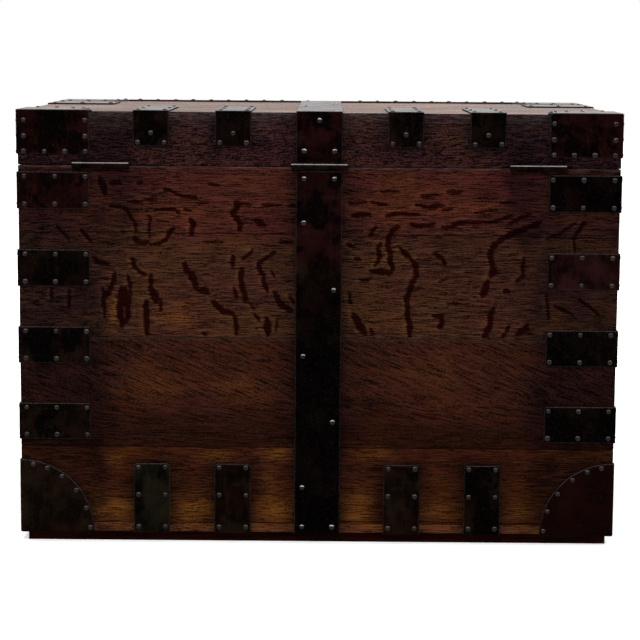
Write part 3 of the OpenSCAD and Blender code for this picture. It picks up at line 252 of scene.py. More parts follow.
def oak(name, light, dark, shift, along=0, slants=(), rays=0.0, ripple=0.0, shake=None, blush=None,
        depth=1.0, warm=(1.12, 1.10, 0.72), cool=(1.0, 0.83, 0.86), mottle=1.6, short=1.0):
    """Old oak with its grain along one axis. Kept patterns come from the board's own vertices.
    Each slant is (lean, low, high): between those heights the lines of the grain cross the board at a slope.
    shake is the height of a crack, and blush is (low, high, tone below, tone above)."""
    f = Finish(name, WOOD_GLOSS)
    f.place = f.node("ShaderNodeMapping", {"Vector": f.place, "Scale": (1, 1, 1), "Location": shift})
    x, y, z = f.axes(f.place)
    sway = f.noise((4, 4, 6)) - 0.5
    lift = z + sway * SWAY
    if ripple:
        lift = lift + (f.noise((38, 38, 55), bend=0.6) - 0.5) * ripple

    def scales(size, long):
        size = list(size)
        size[along] = long
        return size

    def grain(long, cross, detail=2.0, bend=0.0, lean=0.0):
        leaning = f.xyz(x, y + sway * SWAY, lift - x * lean)
        return f.noise(scales([cross] * 3, long), detail, 0.6, bend, place=leaning)

    lines = f.ease(grain(30 * short, 1050, 0.5, 0.1), 0.41, 0.57)
    fine = f.ease(grain(60 * short, 820, 1.0, 0.1), 0.49, 0.62)
    speck = f.noise(scales((650, 650, 650), 420), 1.0) - 0.5
    pores = f.ease(grain(160, 2400, 1.0), 0.52, 0.64)
    dashes = None
    for lean, low, high in slants:
        there = f.ease(z, low - SLANT_FADE, low + SLANT_FADE)
        there = there * f.ease(z, high + SLANT_FADE, high - SLANT_FADE)
        dash = f.ease(grain(30, 760, 0.5, 0.1, lean), 0.47, 0.60) * there
        dashes = dash if dashes is None else dashes + dash
        lines, fine = lines * (1 - there * 0.7), fine * (1 - there * 0.7)
    bands = grain(6.0, 75)
    cloud = f.noise((6, 6, 8), 3.0, 0.6)
    patch = f.noise((11, 11, 15), shift=(3, 1, 2))
    base = f.mix(f.ease(patch, 0.40, 0.62), shade(light, cool), shade(light, warm))
    base = f.mix(f.ease(bands * 0.6 + cloud * 0.4, 0.36, 0.62, 0.75, 0.0), base, light)
    dim = f.ease(bands * 0.5 + cloud * 0.5, 0.58, 0.40, 0.0, 0.20)
    darken = (lines * 0.62 + fine * 0.34 + speck * mottle) * depth + dim
    height = lines * 0.7 + fine * 0.4
    if dashes is not None:
        darken, height = darken + dashes * 0.72, height + dashes * 0.6
    if rays:
        curl = f.noise(scales((40, 40, 16), 70), 1.0, bend=0.5, shift=(7, 4, 1))
        where = f.ease(f.noise((5, 5, 7), 1.0, shift=(2, 9, 5)), 0.48, 0.62)
        curl = f.ease(curl, 0.58, 0.68) * where
        darken, height = darken + curl * (rays * 0.7), height + curl * (rays * 0.3)
    if blush:
        low, high, below, above = blush
        base = f.mix(1.0, base, f.mix(f.ease(z + (cloud - 0.5) * 0.12, low, high), below, above), "MULTIPLY")
    ink = shade(dark, (0.30, 0.22, 0.30))
    colour = f.mix(f.ease(darken, 0.05, 1.15), base, dark)
    colour = f.mix(f.kept("glow"), colour, f.mix(f.ease(darken, 0.0, 1.2), GLOW_LIGHT, GLOW_DARK))
    fleck = f.ease(f.kept("fleck") + speck * 0.8 + lines * 0.20, 0.18, 0.80)
    fleck = fleck * f.ease(lines + fine * 0.6, 0.0, 1.2, 0.96, 1.0)
    # Painted highlight: the wood is lightened beside each ray.
    colour = f.mix(f.kept("ray_highlight") * (1 - lines * 0.7), colour, RAY_HIGHLIGHT, "MULTIPLY")
    colour = f.mix(fleck, colour, f.mix(lines, RAY_RED, RAY_DEEP))
    colour = f.mix(f.kept("stain"), colour, STAIN_BLUE, "MULTIPLY")
    colour = f.mix(f.kept("stain") * f.ease(darken, 0.4, 1.1, 0.0, 0.75), colour, ink)
    # Dust and painted highlight: lighter grey toward the boards' top edges.
    colour = f.mix(f.kept("dust_and_highlight") * (1 - lines * 0.7), colour, DUST_AND_HIGHLIGHT_GREY)
    height = height + fleck * 0.35
    if shake is not None:
        crack = f.ease(abs(lift - shake), 0.0014, 0.0003)
        colour = f.mix(crack * 0.8, colour, ink)
        height = height + crack
    return f.feed(colour, f.ease(cloud + lines * 0.2, 0.3, 0.9, 0.40, 0.66),
                  f.bump(1 - pores * 0.5, 0.0002, 0.4, f.bump(1 - height, 0.0009, 0.65)))


def bleached_oak():
    """The lid's top boards, dried pale by light and dust."""
    f = Finish("bleached_oak", TOP_GLOSS)
    sway = f.noise(4) - 0.5
    x, y, z = f.axes(f.place)
    place = f.xyz(x, y + sway * SWAY, z)
    lines = f.ease(f.noise((12, 260, 60), roughness=0.6, bend=0.2, place=place), 0.42, 0.62)
    fine = f.ease(f.noise((25, 640, 60), 1.0, place=place), 0.44, 0.62)
    cloud = f.noise((7, 9, 7), 4.0, 0.65)
    worn = f.noise((3, 5, 5), 3.0, shift=(4, 2, 1))
    colour = f.mix(f.ease(cloud, 0.36, 0.64), (0.070, 0.034, 0.022), (0.120, 0.064, 0.043))
    colour = f.lay(colour, (0.185, 0.082, 0.050), worn, 0.44, 0.62)
    colour = f.mix(f.ease(lines * 0.7 + fine * 0.4, 0.0, 1.1, 0.0, 0.86), colour, (0.026, 0.010, 0.006))
    return f.feed(colour, f.ease(cloud + lines * 0.3, 0.3, 0.95, 0.30, 0.52),
                  f.bump(1 - lines * 0.7 - fine * 0.4, 0.0009, 0.6))


# How a plate's kept tint colours its iron: olive, black, brown, red, violet
HUES = ((0.0, (1.05, 1.30, 0.85)), (0.3, (0.30, 0.22, 0.22)), (0.6, (1.15, 0.90, 0.56)),
        (0.8, (0.90, 0.24, 0.28)), (1.0, (1.9, 0.80, 0.95)))


def blackened_iron(name, plain, gloss=IRON_GLOSS, worn=(0.055, 0.046, 0.044), plates=True, scale=1.0,
                   rust=(0.0080, 0.0020, 0.0015), shine=(0.30, 0.60), lit_tone=None, hue_share=1.0, dented=0.7):
    """Hammered iron, near black. Plates are tinted one by one and rubbed brighter along their edges, the more
    where an edge faces up, which is a painted highlight. Where a lit tone is given, faces that look up take
    it as a painted highlight.
    """
    f = Finish(name, gloss)
    cloud = f.noise(24 * scale, 4.0, 0.66)
    fine = f.noise(330 * scale, 3.0, 0.7)
    dents = f.noise(80 * scale, 1.0, bend=0.4)
    streak = f.noise((120 * scale, 120 * scale, 16 * scale), 3.0, shift=(2, 7, 3))
    patch = f.ease(f.noise(15 * scale, 3.0, 0.6, shift=(5, 2, 8)), 0.48, 0.64)
    colour = f.mix(f.ease(cloud, 0.40, 0.64), shade(plain, 0.25), shade(plain, 1.7))
    colour = f.lay(colour, shade(plain, 2.2), streak, 0.52, 0.66, 0.35)
    if plates:
        colour = f.mix(f.kept("even"), colour, shade(plain, 1.05))
        hue = f.node("ShaderNodeValToRGB", {0: f.kept("tint")})
        stops = hue.socket.node.color_ramp.elements
        for spot, _ in HUES[2:]:
            stops.new(spot)
        for stop, (spot, tone) in zip(stops, HUES):
            stop.position, stop.color = spot, (*tone, 1)
        colour = f.mix(hue_share, colour, hue, "MULTIPLY")
        patch = patch * f.ease(f.kept("tint"), 0.1, 0.9, 0.2, 1.0)
    colour = f.mix(patch * 0.55, colour, rust)
    if plates:
        burnt = f.ease(f.noise((26, 26, 17), 3.0, 0.6, shift=(1, 6, 3)), 0.50, 0.55) * f.kept("burnt")
        colour = f.mix(burnt * 0.85, colour, shade(plain, 0.08))
    colour = f.lay(colour, shade(plain, 2.8), fine, 0.54, 0.70, 0.4)
    if plates:
        # Painted highlight: the edge band is lighter on edges that face up, as if catching light from above;
        # elsewhere it is rubbed wear.
        above = f.ease(f.upward(), 0.15, 0.7, 0.34, 1.0)
        colour = f.mix(f.kept("edge") * above * f.ease(fine, 0.36, 0.6, 0.3, 1.0), colour, worn)
    # Painted highlight: faces that look up are painted the lit tone, as if lit from above.
    if lit_tone:
        above = f.ease(f.upward(), 0.66, 0.90)
        colour = f.mix(above * f.ease(cloud, 0.30, 0.55, 0.6, 1.0), colour, lit_tone)
    return f.feed(colour, f.ease(cloud + fine * 0.3, 0.4, 0.95, *shine),
                  f.bump(fine, 0.0004, 0.6, f.bump(dents, 0.0016, dented)))


def forged_nail():
    """Nail heads: dark, with a painted highlight on the upper part of each head, near white on the nails of
    the centre straps.
    """
    f = Finish("forged_nail", 0.12)
    cloud = f.noise(90, 3.0, 0.6)
    fine = f.noise(700)
    above = f.upward()
    on_strap = f.ease(abs(f.axes(f.place)[0]), 0.042, 0.036)
    colour = f.mix(f.ease(cloud, 0.38, 0.64), (0.0020, 0.0012, 0.0011), (0.0100, 0.0064, 0.0058))
    colour = f.lay(colour, (0.022, 0.008, 0.006), cloud, 0.58, 0.70, 0.5)
    # Painted highlight: the upper part of each head is painted light, as if lit from above.
    lit_tone = f.mix(on_strap, (0.100, 0.078, 0.074), (0.66, 0.60, 0.58))
    lit = f.ease(above, 0.24, 0.70) * f.ease(fine, 0.30, 0.55, 0.5, 1.0)
    colour = f.mix(lit * f.ease(above, 0.86, 0.62, 0.15, 1.0), colour, lit_tone)
    return f.feed(colour, f.ease(fine, 0.3, 0.7, 0.26, 0.38),
                  f.bump(fine, 0.0001, 0.3))


def plinth_finish():
    f = Finish("dark_red_plinth", 0.008)
    streak = f.noise((9, 9, 240), 3.0)
    cloud = f.noise(14, 3.0)
    colour = f.mix(f.ease(streak, 0.35, 0.65), (0.004, 0.0006, 0.0004), (0.013, 0.0016, 0.0010))
    colour = f.lay(colour, (0.020, 0.0030, 0.0018), cloud, 0.5, 0.72, 0.6)
    return f.feed(colour, f.ease(cloud, 0.3, 0.7, 0.35, 0.6),
                  f.bump(streak, 0.0004, 0.5))


def planed_oak():
    f = Finish("planed_tray_oak", 0.3)
    streak = f.noise((6, 120, 120), 3.0, bend=0.6)
    pores = f.ease(f.noise((45, 800, 800), 1.0), 0.52, 0.64)
    cloud = f.noise(9)
    colour = f.mix(f.ease(streak, 0.34, 0.66), (0.115, 0.052, 0.020), (0.225, 0.118, 0.050))
    colour = f.lay(colour, (0.15, 0.062, 0.025), cloud, 0.4, 0.7, 0.4)
    colour = f.mix(pores * 0.55, colour, (0.045, 0.020, 0.009))
    return f.feed(colour, f.ease(streak, 0.3, 0.7, 0.38, 0.55),
                  f.bump(1 - pores, 0.0003, 0.5))


def old_steel():
    f = Finish("old_steel", 0.5, metallic=1.0)
    cloud = f.noise(60, 4.0, 0.65)
    rub = f.noise((40, 700, 700), 1.0)
    colour = f.mix(f.ease(cloud, 0.38, 0.66), (0.085, 0.070, 0.060), (0.25, 0.235, 0.215))
    colour = f.lay(colour, (0.060, 0.026, 0.014), cloud, 0.60, 0.72, 0.7)
    return f.feed(colour, f.ease(cloud + rub * 0.2, 0.4, 0.8, 0.34, 0.6),
                  f.bump(rub, 0.0002, 0.4))


def aged_brass():
    f = Finish("aged_brass", 0.5, metallic=1.0)
    cloud = f.noise(90, 4.0, 0.6)
    colour = f.mix(f.ease(cloud, 0.40, 0.62), (0.42, 0.27, 0.075), (0.13, 0.078, 0.026))
    return f.feed(colour, f.ease(cloud, 0.35, 0.7, 0.26, 0.52),
                  f.bump(cloud, 0.0002, 0.4))


def baize():
    f = Finish("green_baize", 0.1, sheen_weight=0.10, sheen_roughness=0.5)
    felt = f.noise(620, 4.0, 0.75)
    nap = f.noise(22, 3.0)
    colour = f.mix(f.ease(felt, 0.34, 0.66), (0.010, 0.040, 0.019), (0.026, 0.088, 0.044))
    colour = f.lay(colour, (0.038, 0.092, 0.046), nap, 0.45, 0.7, 0.45)
    return f.feed(colour, f.ease(felt, 0.3, 0.7, 0.82, 0.98),
                  f.bump(felt, 0.0006, 0.6))


# Pieces and meshes, in millimetres
def add_piece(name, mesh, body, replaced):
    piece = bpy.data.objects.new(name, mesh)
    bpy.context.scene.collection.objects.link(piece)
    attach(piece, body)
    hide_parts(*replaced)


def make(name, parts, body, mats, replaced):
    """A piece from parts of (vertices, quads, kept values). Upward faces take the last of its finishes."""
    verts = np.concatenate([part[0] for part in parts])
    starts = np.cumsum([0] + [len(part[0]) for part in parts])
    quads = np.concatenate([part[1] + start for part, start in zip(parts, starts)])
    mesh = bpy.data.meshes.new(name)
    mesh.vertices.add(len(verts))
    mesh.vertices.foreach_set("co", (verts * MM).astype(np.float32).ravel())
    mesh.loops.add(quads.size)
    mesh.loops.foreach_set("vertex_index", quads.astype(np.int32).ravel())
    mesh.polygons.add(len(quads))
    mesh.polygons.foreach_set("loop_start", np.arange(0, quads.size, 4, dtype=np.int32))
    mesh.polygons.foreach_set("use_smooth", np.full(len(quads), True))
    mesh.update(calc_edges=True)
    for key in parts[0][2]:
        values = np.concatenate([part[2][key] for part in parts])
        mesh.attributes.new(key, "FLOAT", "POINT").data.foreach_set("value", values.astype(np.float32))
    for mat in mats:
        mesh.materials.append(mat)
    if len(mats) > 1:
        ways = np.zeros(3 * len(quads), np.float32)
        mesh.polygons.foreach_get("normal", ways)
        mesh.polygons.foreach_set("material_index", (ways[2::3] > 0.8).astype(np.int32))
    add_piece(name, mesh, body, (replaced,))


def steps(low, high, pitch, r):
    """Places along one side of a board, closer together in its rounded edges."""
    count = max(1, round((high - low - 2 * r) / pitch))
    edge = np.array([0, 0.3, 0.65]) * r
    return np.concatenate([low + edge, np.linspace(low + r, high - r, count + 1), (high - edge)[::-1]])


def block(low, high, pitch, r, seed):
    """A closed board with worn edges, as (vertices, quads, flat vertices before the wear)."""
    axes = [steps(low[k], high[k], pitch[k], r) for k in range(3)]
    size = [len(a) for a in axes]
    quads = []
    for k in range(3):
        a, b = (k + 1) % 3, (k + 2) % 3
        i, j = np.meshgrid(np.arange(size[a] - 1), np.arange(size[b] - 1), indexing="ij")
        for end in (0, size[k] - 1):
            at, ids = [np.full(i.shape, end)] * 3, []
            for di, dj in ((0, 0), (1, 0), (1, 1), (0, 1)):
                at[a], at[b] = i + di, j + dj
                ids.append(np.ravel_multi_index(at, size))
            quad = np.stack(ids, -1).reshape(-1, 4)
            quads.append(quad if end else quad[:, ::-1])
    used, quads = np.unique(np.concatenate(quads), return_inverse=True)
    quads = quads.reshape(-1, 4)
    x, y, z = (axis[i] for axis, i in zip(axes, np.unravel_index(used, size)))
    flat = np.stack([x, y, z], -1)
    wear = r * (0.55 + 0.45 * rough(x / 23 + z / 17, y / 19 + z / 31, seed))
    inner = np.clip(flat, np.array(low) + r, np.array(high) - r)
    away = flat - inner
    length = np.linalg.norm(away, axis=1, keepdims=True)
    out = away / np.maximum(length, 1e-9)
    corner = np.abs(away).sum(1, keepdims=True) / np.maximum(length, 1e-9) - 1
    verts = inner + out * r
    verts = np.where(length > r * 1.001, flat + (verts - flat) * (wear[:, None] / r), verts)
    dip = WAVE * rough((x + 0.7 * y) / 60, (z + 0.6 * y) / 26, seed + 3)
    dip += 0.35 * wear / r * np.clip(corner[:, 0], 0, 1)
    return verts - out * dip[:, None], quads, flat


def box_inset(u0, u1, v0, v1):
    return lambda u, v: np.minimum(np.minimum(u - u0, u1 - u), np.minimum(v - v0, v1 - v))


def slab(us, vs, place, inset=None, r=EDGE_R, seed=0, tint=0.5, corner=6.0):
    """A bent plate over a grid of flattened places, as (vertices, quads, kept values).
    inset says how far a place lies inside the outline, which is the grid's own where none is given."""
    u, v = np.meshgrid(us, vs, indexing="ij")
    d = (inset or box_inset(us[0], us[-1], vs[0], vs[-1]))(u, v)
    round_off = r * (1 - np.sqrt(1 - np.clip((r - d) / r, 0, 1) ** 2))
    hammer = rough(u / 13 + seed * 3.1, v / 13 + seed * 1.7, seed, 2)
    n = IRON_T - round_off - DENT * np.clip(d / FAINT, 0, 1) * hammer - SHY
    if corner:
        u, v = clipped(u, v, corner)
    outer, inner = place(u, v, n), place(u, v, np.full(n.shape, CLEAR))
    nu, nv = u.shape
    index = np.arange(nu * nv).reshape(nu, nv)
    top = np.stack([index[:-1, :-1], index[1:, :-1], index[1:, 1:], index[:-1, 1:]], -1).reshape(-1, 4)
    low = top[:, ::-1] + nu * nv
    ring = np.concatenate([index[:, 0], index[-1, 1:], index[-2::-1, -1], index[0, -2:0:-1]])
    after = np.roll(ring, -1)
    wall = np.stack([after, ring, ring + nu * nv, after + nu * nv], -1)
    quads = np.concatenate([top, low, wall])
    verts = np.concatenate([outer.reshape(-1, 3), inner.reshape(-1, 3)])
    a, b, c = (verts[top[len(top) // 2, k]] for k in (0, 1, 2))
    if np.dot(np.cross(b - a, c - a), (outer - inner)[nu // 2, nv // 2]) < 0:
        quads = quads[:, ::-1]
    edge = np.clip(1 - d / RUBBED_AND_LIT, 0, 1).ravel()
    return verts, quads, {"edge": np.concatenate([edge, edge * 0]), "tint": np.full(len(verts), tint)}


def clipped(u, v, r):
    """Pulls the corners of a grid of places in, to rounds of radius r."""
    middle = [(c.min() + c.max()) / 2 for c in (u, v)]
    half = [(c.max() - c.min()) / 2 for c in (u, v)]
    a, b = (np.clip((np.abs(c - m) - h + r) / r, 0, 1) for c, m, h in zip((u, v), middle, half))
    pull_u, pull_v = r * a * (1 - np.sqrt(1 - b * b / 2)), r * b * (1 - np.sqrt(1 - a * a / 2))
    return u - np.sign(u - middle[0]) * pull_u, v - np.sign(v - middle[1]) * pull_v


def wrap(*legs):
    """A path over flat legs and round the edges between them, as a function of the way along it and the
    height above the wood. Each leg is (start, direction, outward normal, length) in a plane."""
    def path(s, n):
        p = np.zeros(s.shape + (2,))
        begin = 0.0
        for k, (start, along, normal, length) in enumerate(legs):
            start, along, normal = (np.array(c, float) for c in (start, along, normal))
            last = k == len(legs) - 1
            here = ((k == 0) | (s >= begin)) & (last | (s <= begin + length))
            flat = start + along * (s - begin)[..., None] + normal * n[..., None]
            p = np.where(here[..., None], flat, p)
            if not last:
                turn = (s > begin + length) & (s < begin + length + 2 * ARC)
                angle = np.clip((s - begin - length) / (2 * ARC), 0, 1) * math.pi / 2
                after = np.array(legs[k + 1][2], float)
                outward = normal * np.cos(angle)[..., None] + after * np.sin(angle)[..., None]
                p = np.where(turn[..., None], start + along * length + n[..., None] * outward, p)
            begin += length + 2 * ARC
        return p
    path.length = sum(leg[3] for leg in legs) + 2 * ARC * (len(legs) - 1)
    return path


def up_and_down(side, path):
    """Places a plate whose path lies in a plane across a face: (outwards, height)."""
    def place(u, s, n):
        p = path(s, n)
        return on_face(side, u, p[..., 1], p[..., 0])
    return place


def round_corner(sx, sy, leg):
    """Places a plate that goes round a vertical corner of the chest; u is 0 at the corner."""
    cx, cy = sx * BODY_W / 2, MID_Y + sy * BODY_D / 2
    path = wrap(((cx - sx * leg, cy), (sx, 0), (0, sy), leg), ((cx, cy), (0, -sy), (sx, 0), leg))

    def place(u, z, n):
        p = path(u + path.length / 2, n)
        return np.concatenate([p, z[..., None]], -1)
    return place


def spread(low, high, r=EDGE_R, also=()):
    """Places over a plate's width, with more of them at its ends and at the bends listed in also."""
    return np.union1d(steps(low, high, IRON_STEP, r), (low + IRON_MARGIN, high - IRON_MARGIN, *also))


def bend_places(at):
    return [at + ARC * k for k in (0, 0.5, 1, 1.5, 2)]


def over_edge(drop, reach, under):
    """A path over the edge of a face, onto the lid's top or under the body."""
    z, up = (Z_BASE, -1.0) if under else (Z_TOP, 1.0)
    return wrap(((0, z - up * drop), (0, up), (1, 0), drop), ((0, z), (-1, 0), (0, up), reach))


def strips_over(side, places, width, drop, reach, seeds, tints, under=False):
    """Strips bent over one edge."""
    path = over_edge(drop, reach, under)
    vs = spread(0, path.length, also=bend_places(drop))
    return [slab(spread(x - width / 2, x + width / 2), vs, up_and_down(side, path), seed=seed, tint=tint)
            for x, seed, tint in zip(places, seeds, tints)]


# Nail spots, as (along the face, height) on a face or (x, y) on the lid's top
CAP_ANGLES, TOP_CAP_ANGLES = (3, 20, 37, 54, 68, 80), (9, 27, 45, 63, 81)
STRAP_TOP_ROW, STRAP_FIRST_ROW, STRAP_LAST_ROW, STRAP_LOW_ROW, LID_STRAP_ROW = 18, 85, 71, 9, 23.5
CLIP_ROWS, LID_CLIP_ROWS = (8, 58, CLIP_H - NAIL_EDGE), (15, LID_CLIP_REACH / 2, LID_CLIP_REACH - 13)
LID_CAP_ROWS, LID_CLIP_MIDDLE_ROW, TOP_ROW = (14, 38), 20, 12
TOP_STRAP_NAILS = ((-1, 0.05), (1, 0.24), (1, 0.425), (-1, 0.615), (-1, 0.769), (1, 0.959))
EDGE_SPOTS = [s * (EDGE_FROM + EDGE_FIRST + EDGE_PITCH * i) for s in BOTH for i in range(9)]
KEY_SPOTS = [(0, Z_KEY - BIT_R / 2 + KEY_R / 2 + k * (BIT_R + KEY_NAIL)) for k in BOTH]
HANDLE_SPOTS = [(x * (HANDLE_W / 2 - HANDLE_NAIL), Z_PIVOT + k * (HANDLE_H / 2 - HANDLE_NAIL))
                for x in (-1, 0, 1) for k in BOTH]


def on_arc(degrees):
    """A spot on the row of nails of a quarter round, from the corner that is its centre."""
    r, a = CAP_R - NAIL_EDGE, math.radians(degrees)
    return r * math.cos(a), r * math.sin(a)


def clip_places(side):
    return CLIPS_AT if side % 2 == 0 else END_CLIPS_AT


def strap_spots():
    first, last = Z_SEAM - STRAP_FIRST_ROW, Z_BASE + STRAP_LAST_ROW
    return ([(k * STRAP_COL, Z_SEAM - STRAP_TOP_ROW) for k in BOTH]
            + [((-1) ** (i + 1) * STRAP_COL, first - i * (first - last) / 4) for i in range(5)]
            + [(k * STRAP_COL, Z_BASE + STRAP_LOW_ROW) for k in BOTH])


def body_spots(side):
    half, rise = half_of(side), PLATE_H / 2 - NAIL_EDGE - 1
    spots = [(s * (half - d), z + k * rise) for s in BOTH for z in CORNER_Z for d in LEG_STEPS for k in BOTH]
    for s in BOTH:
        for in_by, up_by in map(on_arc, CAP_ANGLES):
            spots.append((s * (half - in_by), Z_BASE + up_by))
    spots += [(x + k * CLIP_COL, Z_BASE + row) for x in clip_places(side) for row in CLIP_ROWS for k in BOTH]
    return spots + (strap_spots() if side % 2 == 0 else [])


def lid_clip_face(x, half):
    low = Z_TOP - LID_CLIP_DROP
    return [(x, low + LID_CLIP_MIDDLE_ROW), (x - half, low + NAIL_EDGE), (x + half, low + NAIL_EDGE)]


def end_clip_x(side):
    return (1 if side == RIGHT else -1) * (BODY_D / 2 - END_CLIP_BACK)


def lid_spots(side):
    half, span = half_of(side), LEG - NAIL_EDGE - NAIL_INSET
    spots = [(s * (half - d), Z_TOP - row) for s in BOTH for d in LEG_STEPS[::2] for row in LID_CAP_ROWS]
    spots += [(s * (half - NAIL_INSET - i * span / 3), Z_TOP - LID_CAP_DROP + NAIL_EDGE - 2)
              for s in BOTH for i in range(4)]
    if side % 2:
        spots += lid_clip_face(end_clip_x(side), END_CLIP_W / 2 - NAIL_EDGE)
    else:
        spots += [(0, Z_TOP - TOP_ROW)] + [(k * STRAP_COL, Z_SEAM + LID_STRAP_ROW) for k in BOTH]
    if side == BACK:
        spots += [p for x in clip_places(BACK) for p in lid_clip_face(x, LID_CLIP_COL)]
    if side == FRONT:
        spots += [(x, Z_TOP - EDGE_DROP / 2) for x in EDGE_SPOTS]
    return spots


def top_spots():
    spots = []
    for sx, sy in CORNERS:
        for in_x, in_y in map(on_arc, TOP_CAP_ANGLES):
            spots.append((sx * (BODY_W / 2 - in_x), sy * (BODY_D / 2 - in_y)))
    spots += [(x + k * LID_CLIP_COL, BODY_D / 2 - row)
              for x in CLIPS_AT for row in LID_CLIP_ROWS for k in BOTH]
    spots += [(s * (BODY_W / 2 - d), BODY_D / 2 - END_CLIP_BACK + k * (END_CLIP_W / 2 - NAIL_EDGE - 4))
              for s in BOTH for d in LEG_STEPS for k in BOTH]
    spots += [(k * STRAP_COL, BODY_D / 2 - share * BODY_D) for k, share in TOP_STRAP_NAILS]
    return spots + [(x, -BODY_D / 2 + EDGE_TOP / 2 - 2) for x in EDGE_SPOTS]


# The stain round iron and at the boards' ends, with the heights between which the ends widen and pale
FAR_UP, STAIN_WIDENS, STAIN_PALES = 999, (440, 500), (430, 560)


def iron_on(side):
    """Iron that lies on a face: (low u, high u, low z, high z)."""
    half = half_of(side)
    ends = [(-half, LEG - half), (half - LEG, half)]
    rects = [(*end, z - PLATE_H / 2, z + PLATE_H / 2) for end in ends for z in CORNER_Z]
    rects += [(x - CLIP_W / 2, x + CLIP_W / 2, 0, Z_BASE + CLIP_H) for x in clip_places(side)]
    rects += [(*end, Z_TOP - LID_CAP_DROP, FAR_UP) for end in ends]
    clips = [(x, LID_CLIP_W) for x in clip_places(side)] if side == BACK else []
    if side % 2 == 0:
        rects += [(-STRAP_W / 2, STRAP_W / 2, 0, FAR_UP)]
    else:
        rects += [(-HANDLE_W / 2, HANDLE_W / 2, Z_PIVOT - HANDLE_H / 2, Z_PIVOT + HANDLE_H / 2)]
        clips = [(end_clip_x(side), END_CLIP_W)]
    return rects + [(x - wide / 2, x + wide / 2, Z_TOP - LID_CLIP_DROP, FAR_UP) for x, wide in clips]


def stain_on(side, u, z):
    far = np.full(u.shape, 1e3)
    for u0, u1, z0, z1 in iron_on(side):
        du = np.maximum(np.maximum(u0 - u, u - u1), 0)
        dz = np.maximum(np.maximum(z0 - z, z - z1), 0)
        far = np.minimum(far, np.hypot(du * 0.8, dz * 1.25))
    for s in BOTH:
        far = np.minimum(far, np.maximum(np.hypot(u - s * half_of(side), z - Z_BASE) - CAP_R, 0))
    corner = half_of(side) - LEG - 12 - 45 * ease(z, *STAIN_WIDENS)
    blot = rough(u / 30, z / 22, side + 2)
    near = 0.8 * np.exp(-far / 20)
    end = np.exp(-(np.maximum(corner - np.abs(u), 0) * 0.8 + 9 - 3 * ease(z, *STAIN_PALES)) / 24)
    return np.clip(np.maximum(near, end) * (0.62 + 1.2 * blot), 0, 1)


# Rays of the quarter-sawn back board, drawn stroke by stroke on squares to the right of and below a corner
# of the visible wood: (width, right, down, right, down, ...)
RAYS_LEFT = (
    (1.2, 18, 27, 26, 28, 30, 31, 33, 36, 36, 40, 36, 46), (2, 35, 50, 37, 53, 41, 54, 45, 53),
    (1.4, 47, 55, 53, 54, 58, 52, 60, 48, 62, 44, 64, 43), (0.9, 45, 34, 47, 36, 46, 41, 46, 50),
    (2, 76, 36, 78, 40, 77, 44, 77, 48), (0.9, 112, 24, 120, 25), (0.9, 128, 25, 142, 26),
    (2, 109, 24, 112, 25, 110, 28, 107, 32, 110, 36, 113, 40, 112, 44), (1, 148, 26, 154, 26),
    (1.4, 34, 66, 35, 71, 38, 75, 43, 77), (2, 47, 78, 47, 86), (4.4, 47, 87, 50, 93, 51, 97),
    (1.8, 21, 77, 19, 83, 17, 88, 15, 93), (1.2, 12, 88, 13, 92, 12, 98, 13, 108),
    (2.6, 25, 88, 25, 96, 24, 104, 26, 116), (2.4, 28, 88, 29, 97, 30, 108, 28, 114),
    (1, 30, 78, 32, 84, 32, 92, 31, 99, 29, 106), (2, 44, 97, 43, 103, 44, 110, 44, 122),
    (1, 55, 95, 54, 104), (2.4, 72, 69, 73, 74, 77, 77, 79, 83, 80, 87), (3, 82, 89, 86, 89, 89, 91),
    (2.6, 92, 97, 97, 101, 101, 104, 107, 106), (1.6, 109, 108, 110, 114, 110, 121), (1.6, 107, 63, 107, 71),
    (1.2, 122, 58, 118, 63, 114, 66), (2, 114, 73, 113, 80, 114, 86, 117, 93, 116, 96),
    (1.3, 108, 87, 110, 94), (1, 119, 97, 123, 102),
    (1.4, 138, 60, 132, 64, 126, 69, 127, 74, 130, 77, 130, 83, 133, 89), (1, 136, 75, 138, 78),
    (2.4, 138, 90, 141, 97, 146, 101, 150, 103), (1.2, 149, 92, 151, 96, 156, 100),
    (3.4, 132, 110, 133, 116, 133, 122), (1, 123, 106, 127, 111), (0.8, 140, 110, 139, 118),
    (1.5, 86, 121, 88, 122), (1.8, 5, 65, 8, 68, 15, 70), (3, 10, 7, 13, 13, 14, 18), (2.5, 18, 10, 25, 10),
    (1.2, 26, 46, 28, 46), (1.2, 142, 53, 151, 52), (0.8, 86, 53, 100, 53), (2.6, 124, 37, 130, 40),
    (1.1, 57, 15, 61, 15, 66, 18, 72, 20, 80, 20), (1, 30, 24, 41, 24), (1, 43, 22, 52, 24),
    (1, 50, 30, 58, 29, 64, 29, 68, 32), (1, 71, 29, 77, 30), (1.8, -26, 89, -26, 95),
    (1.3, -13, 89, -13, 102), (1, -22, 42, -13, 52), (1.4, -4, 45, 3, 53), (1, 82, 25, 89, 24),
    (0.9, 90, 10, 97, 11), (1.2, 38, 10, 41, 9),
)
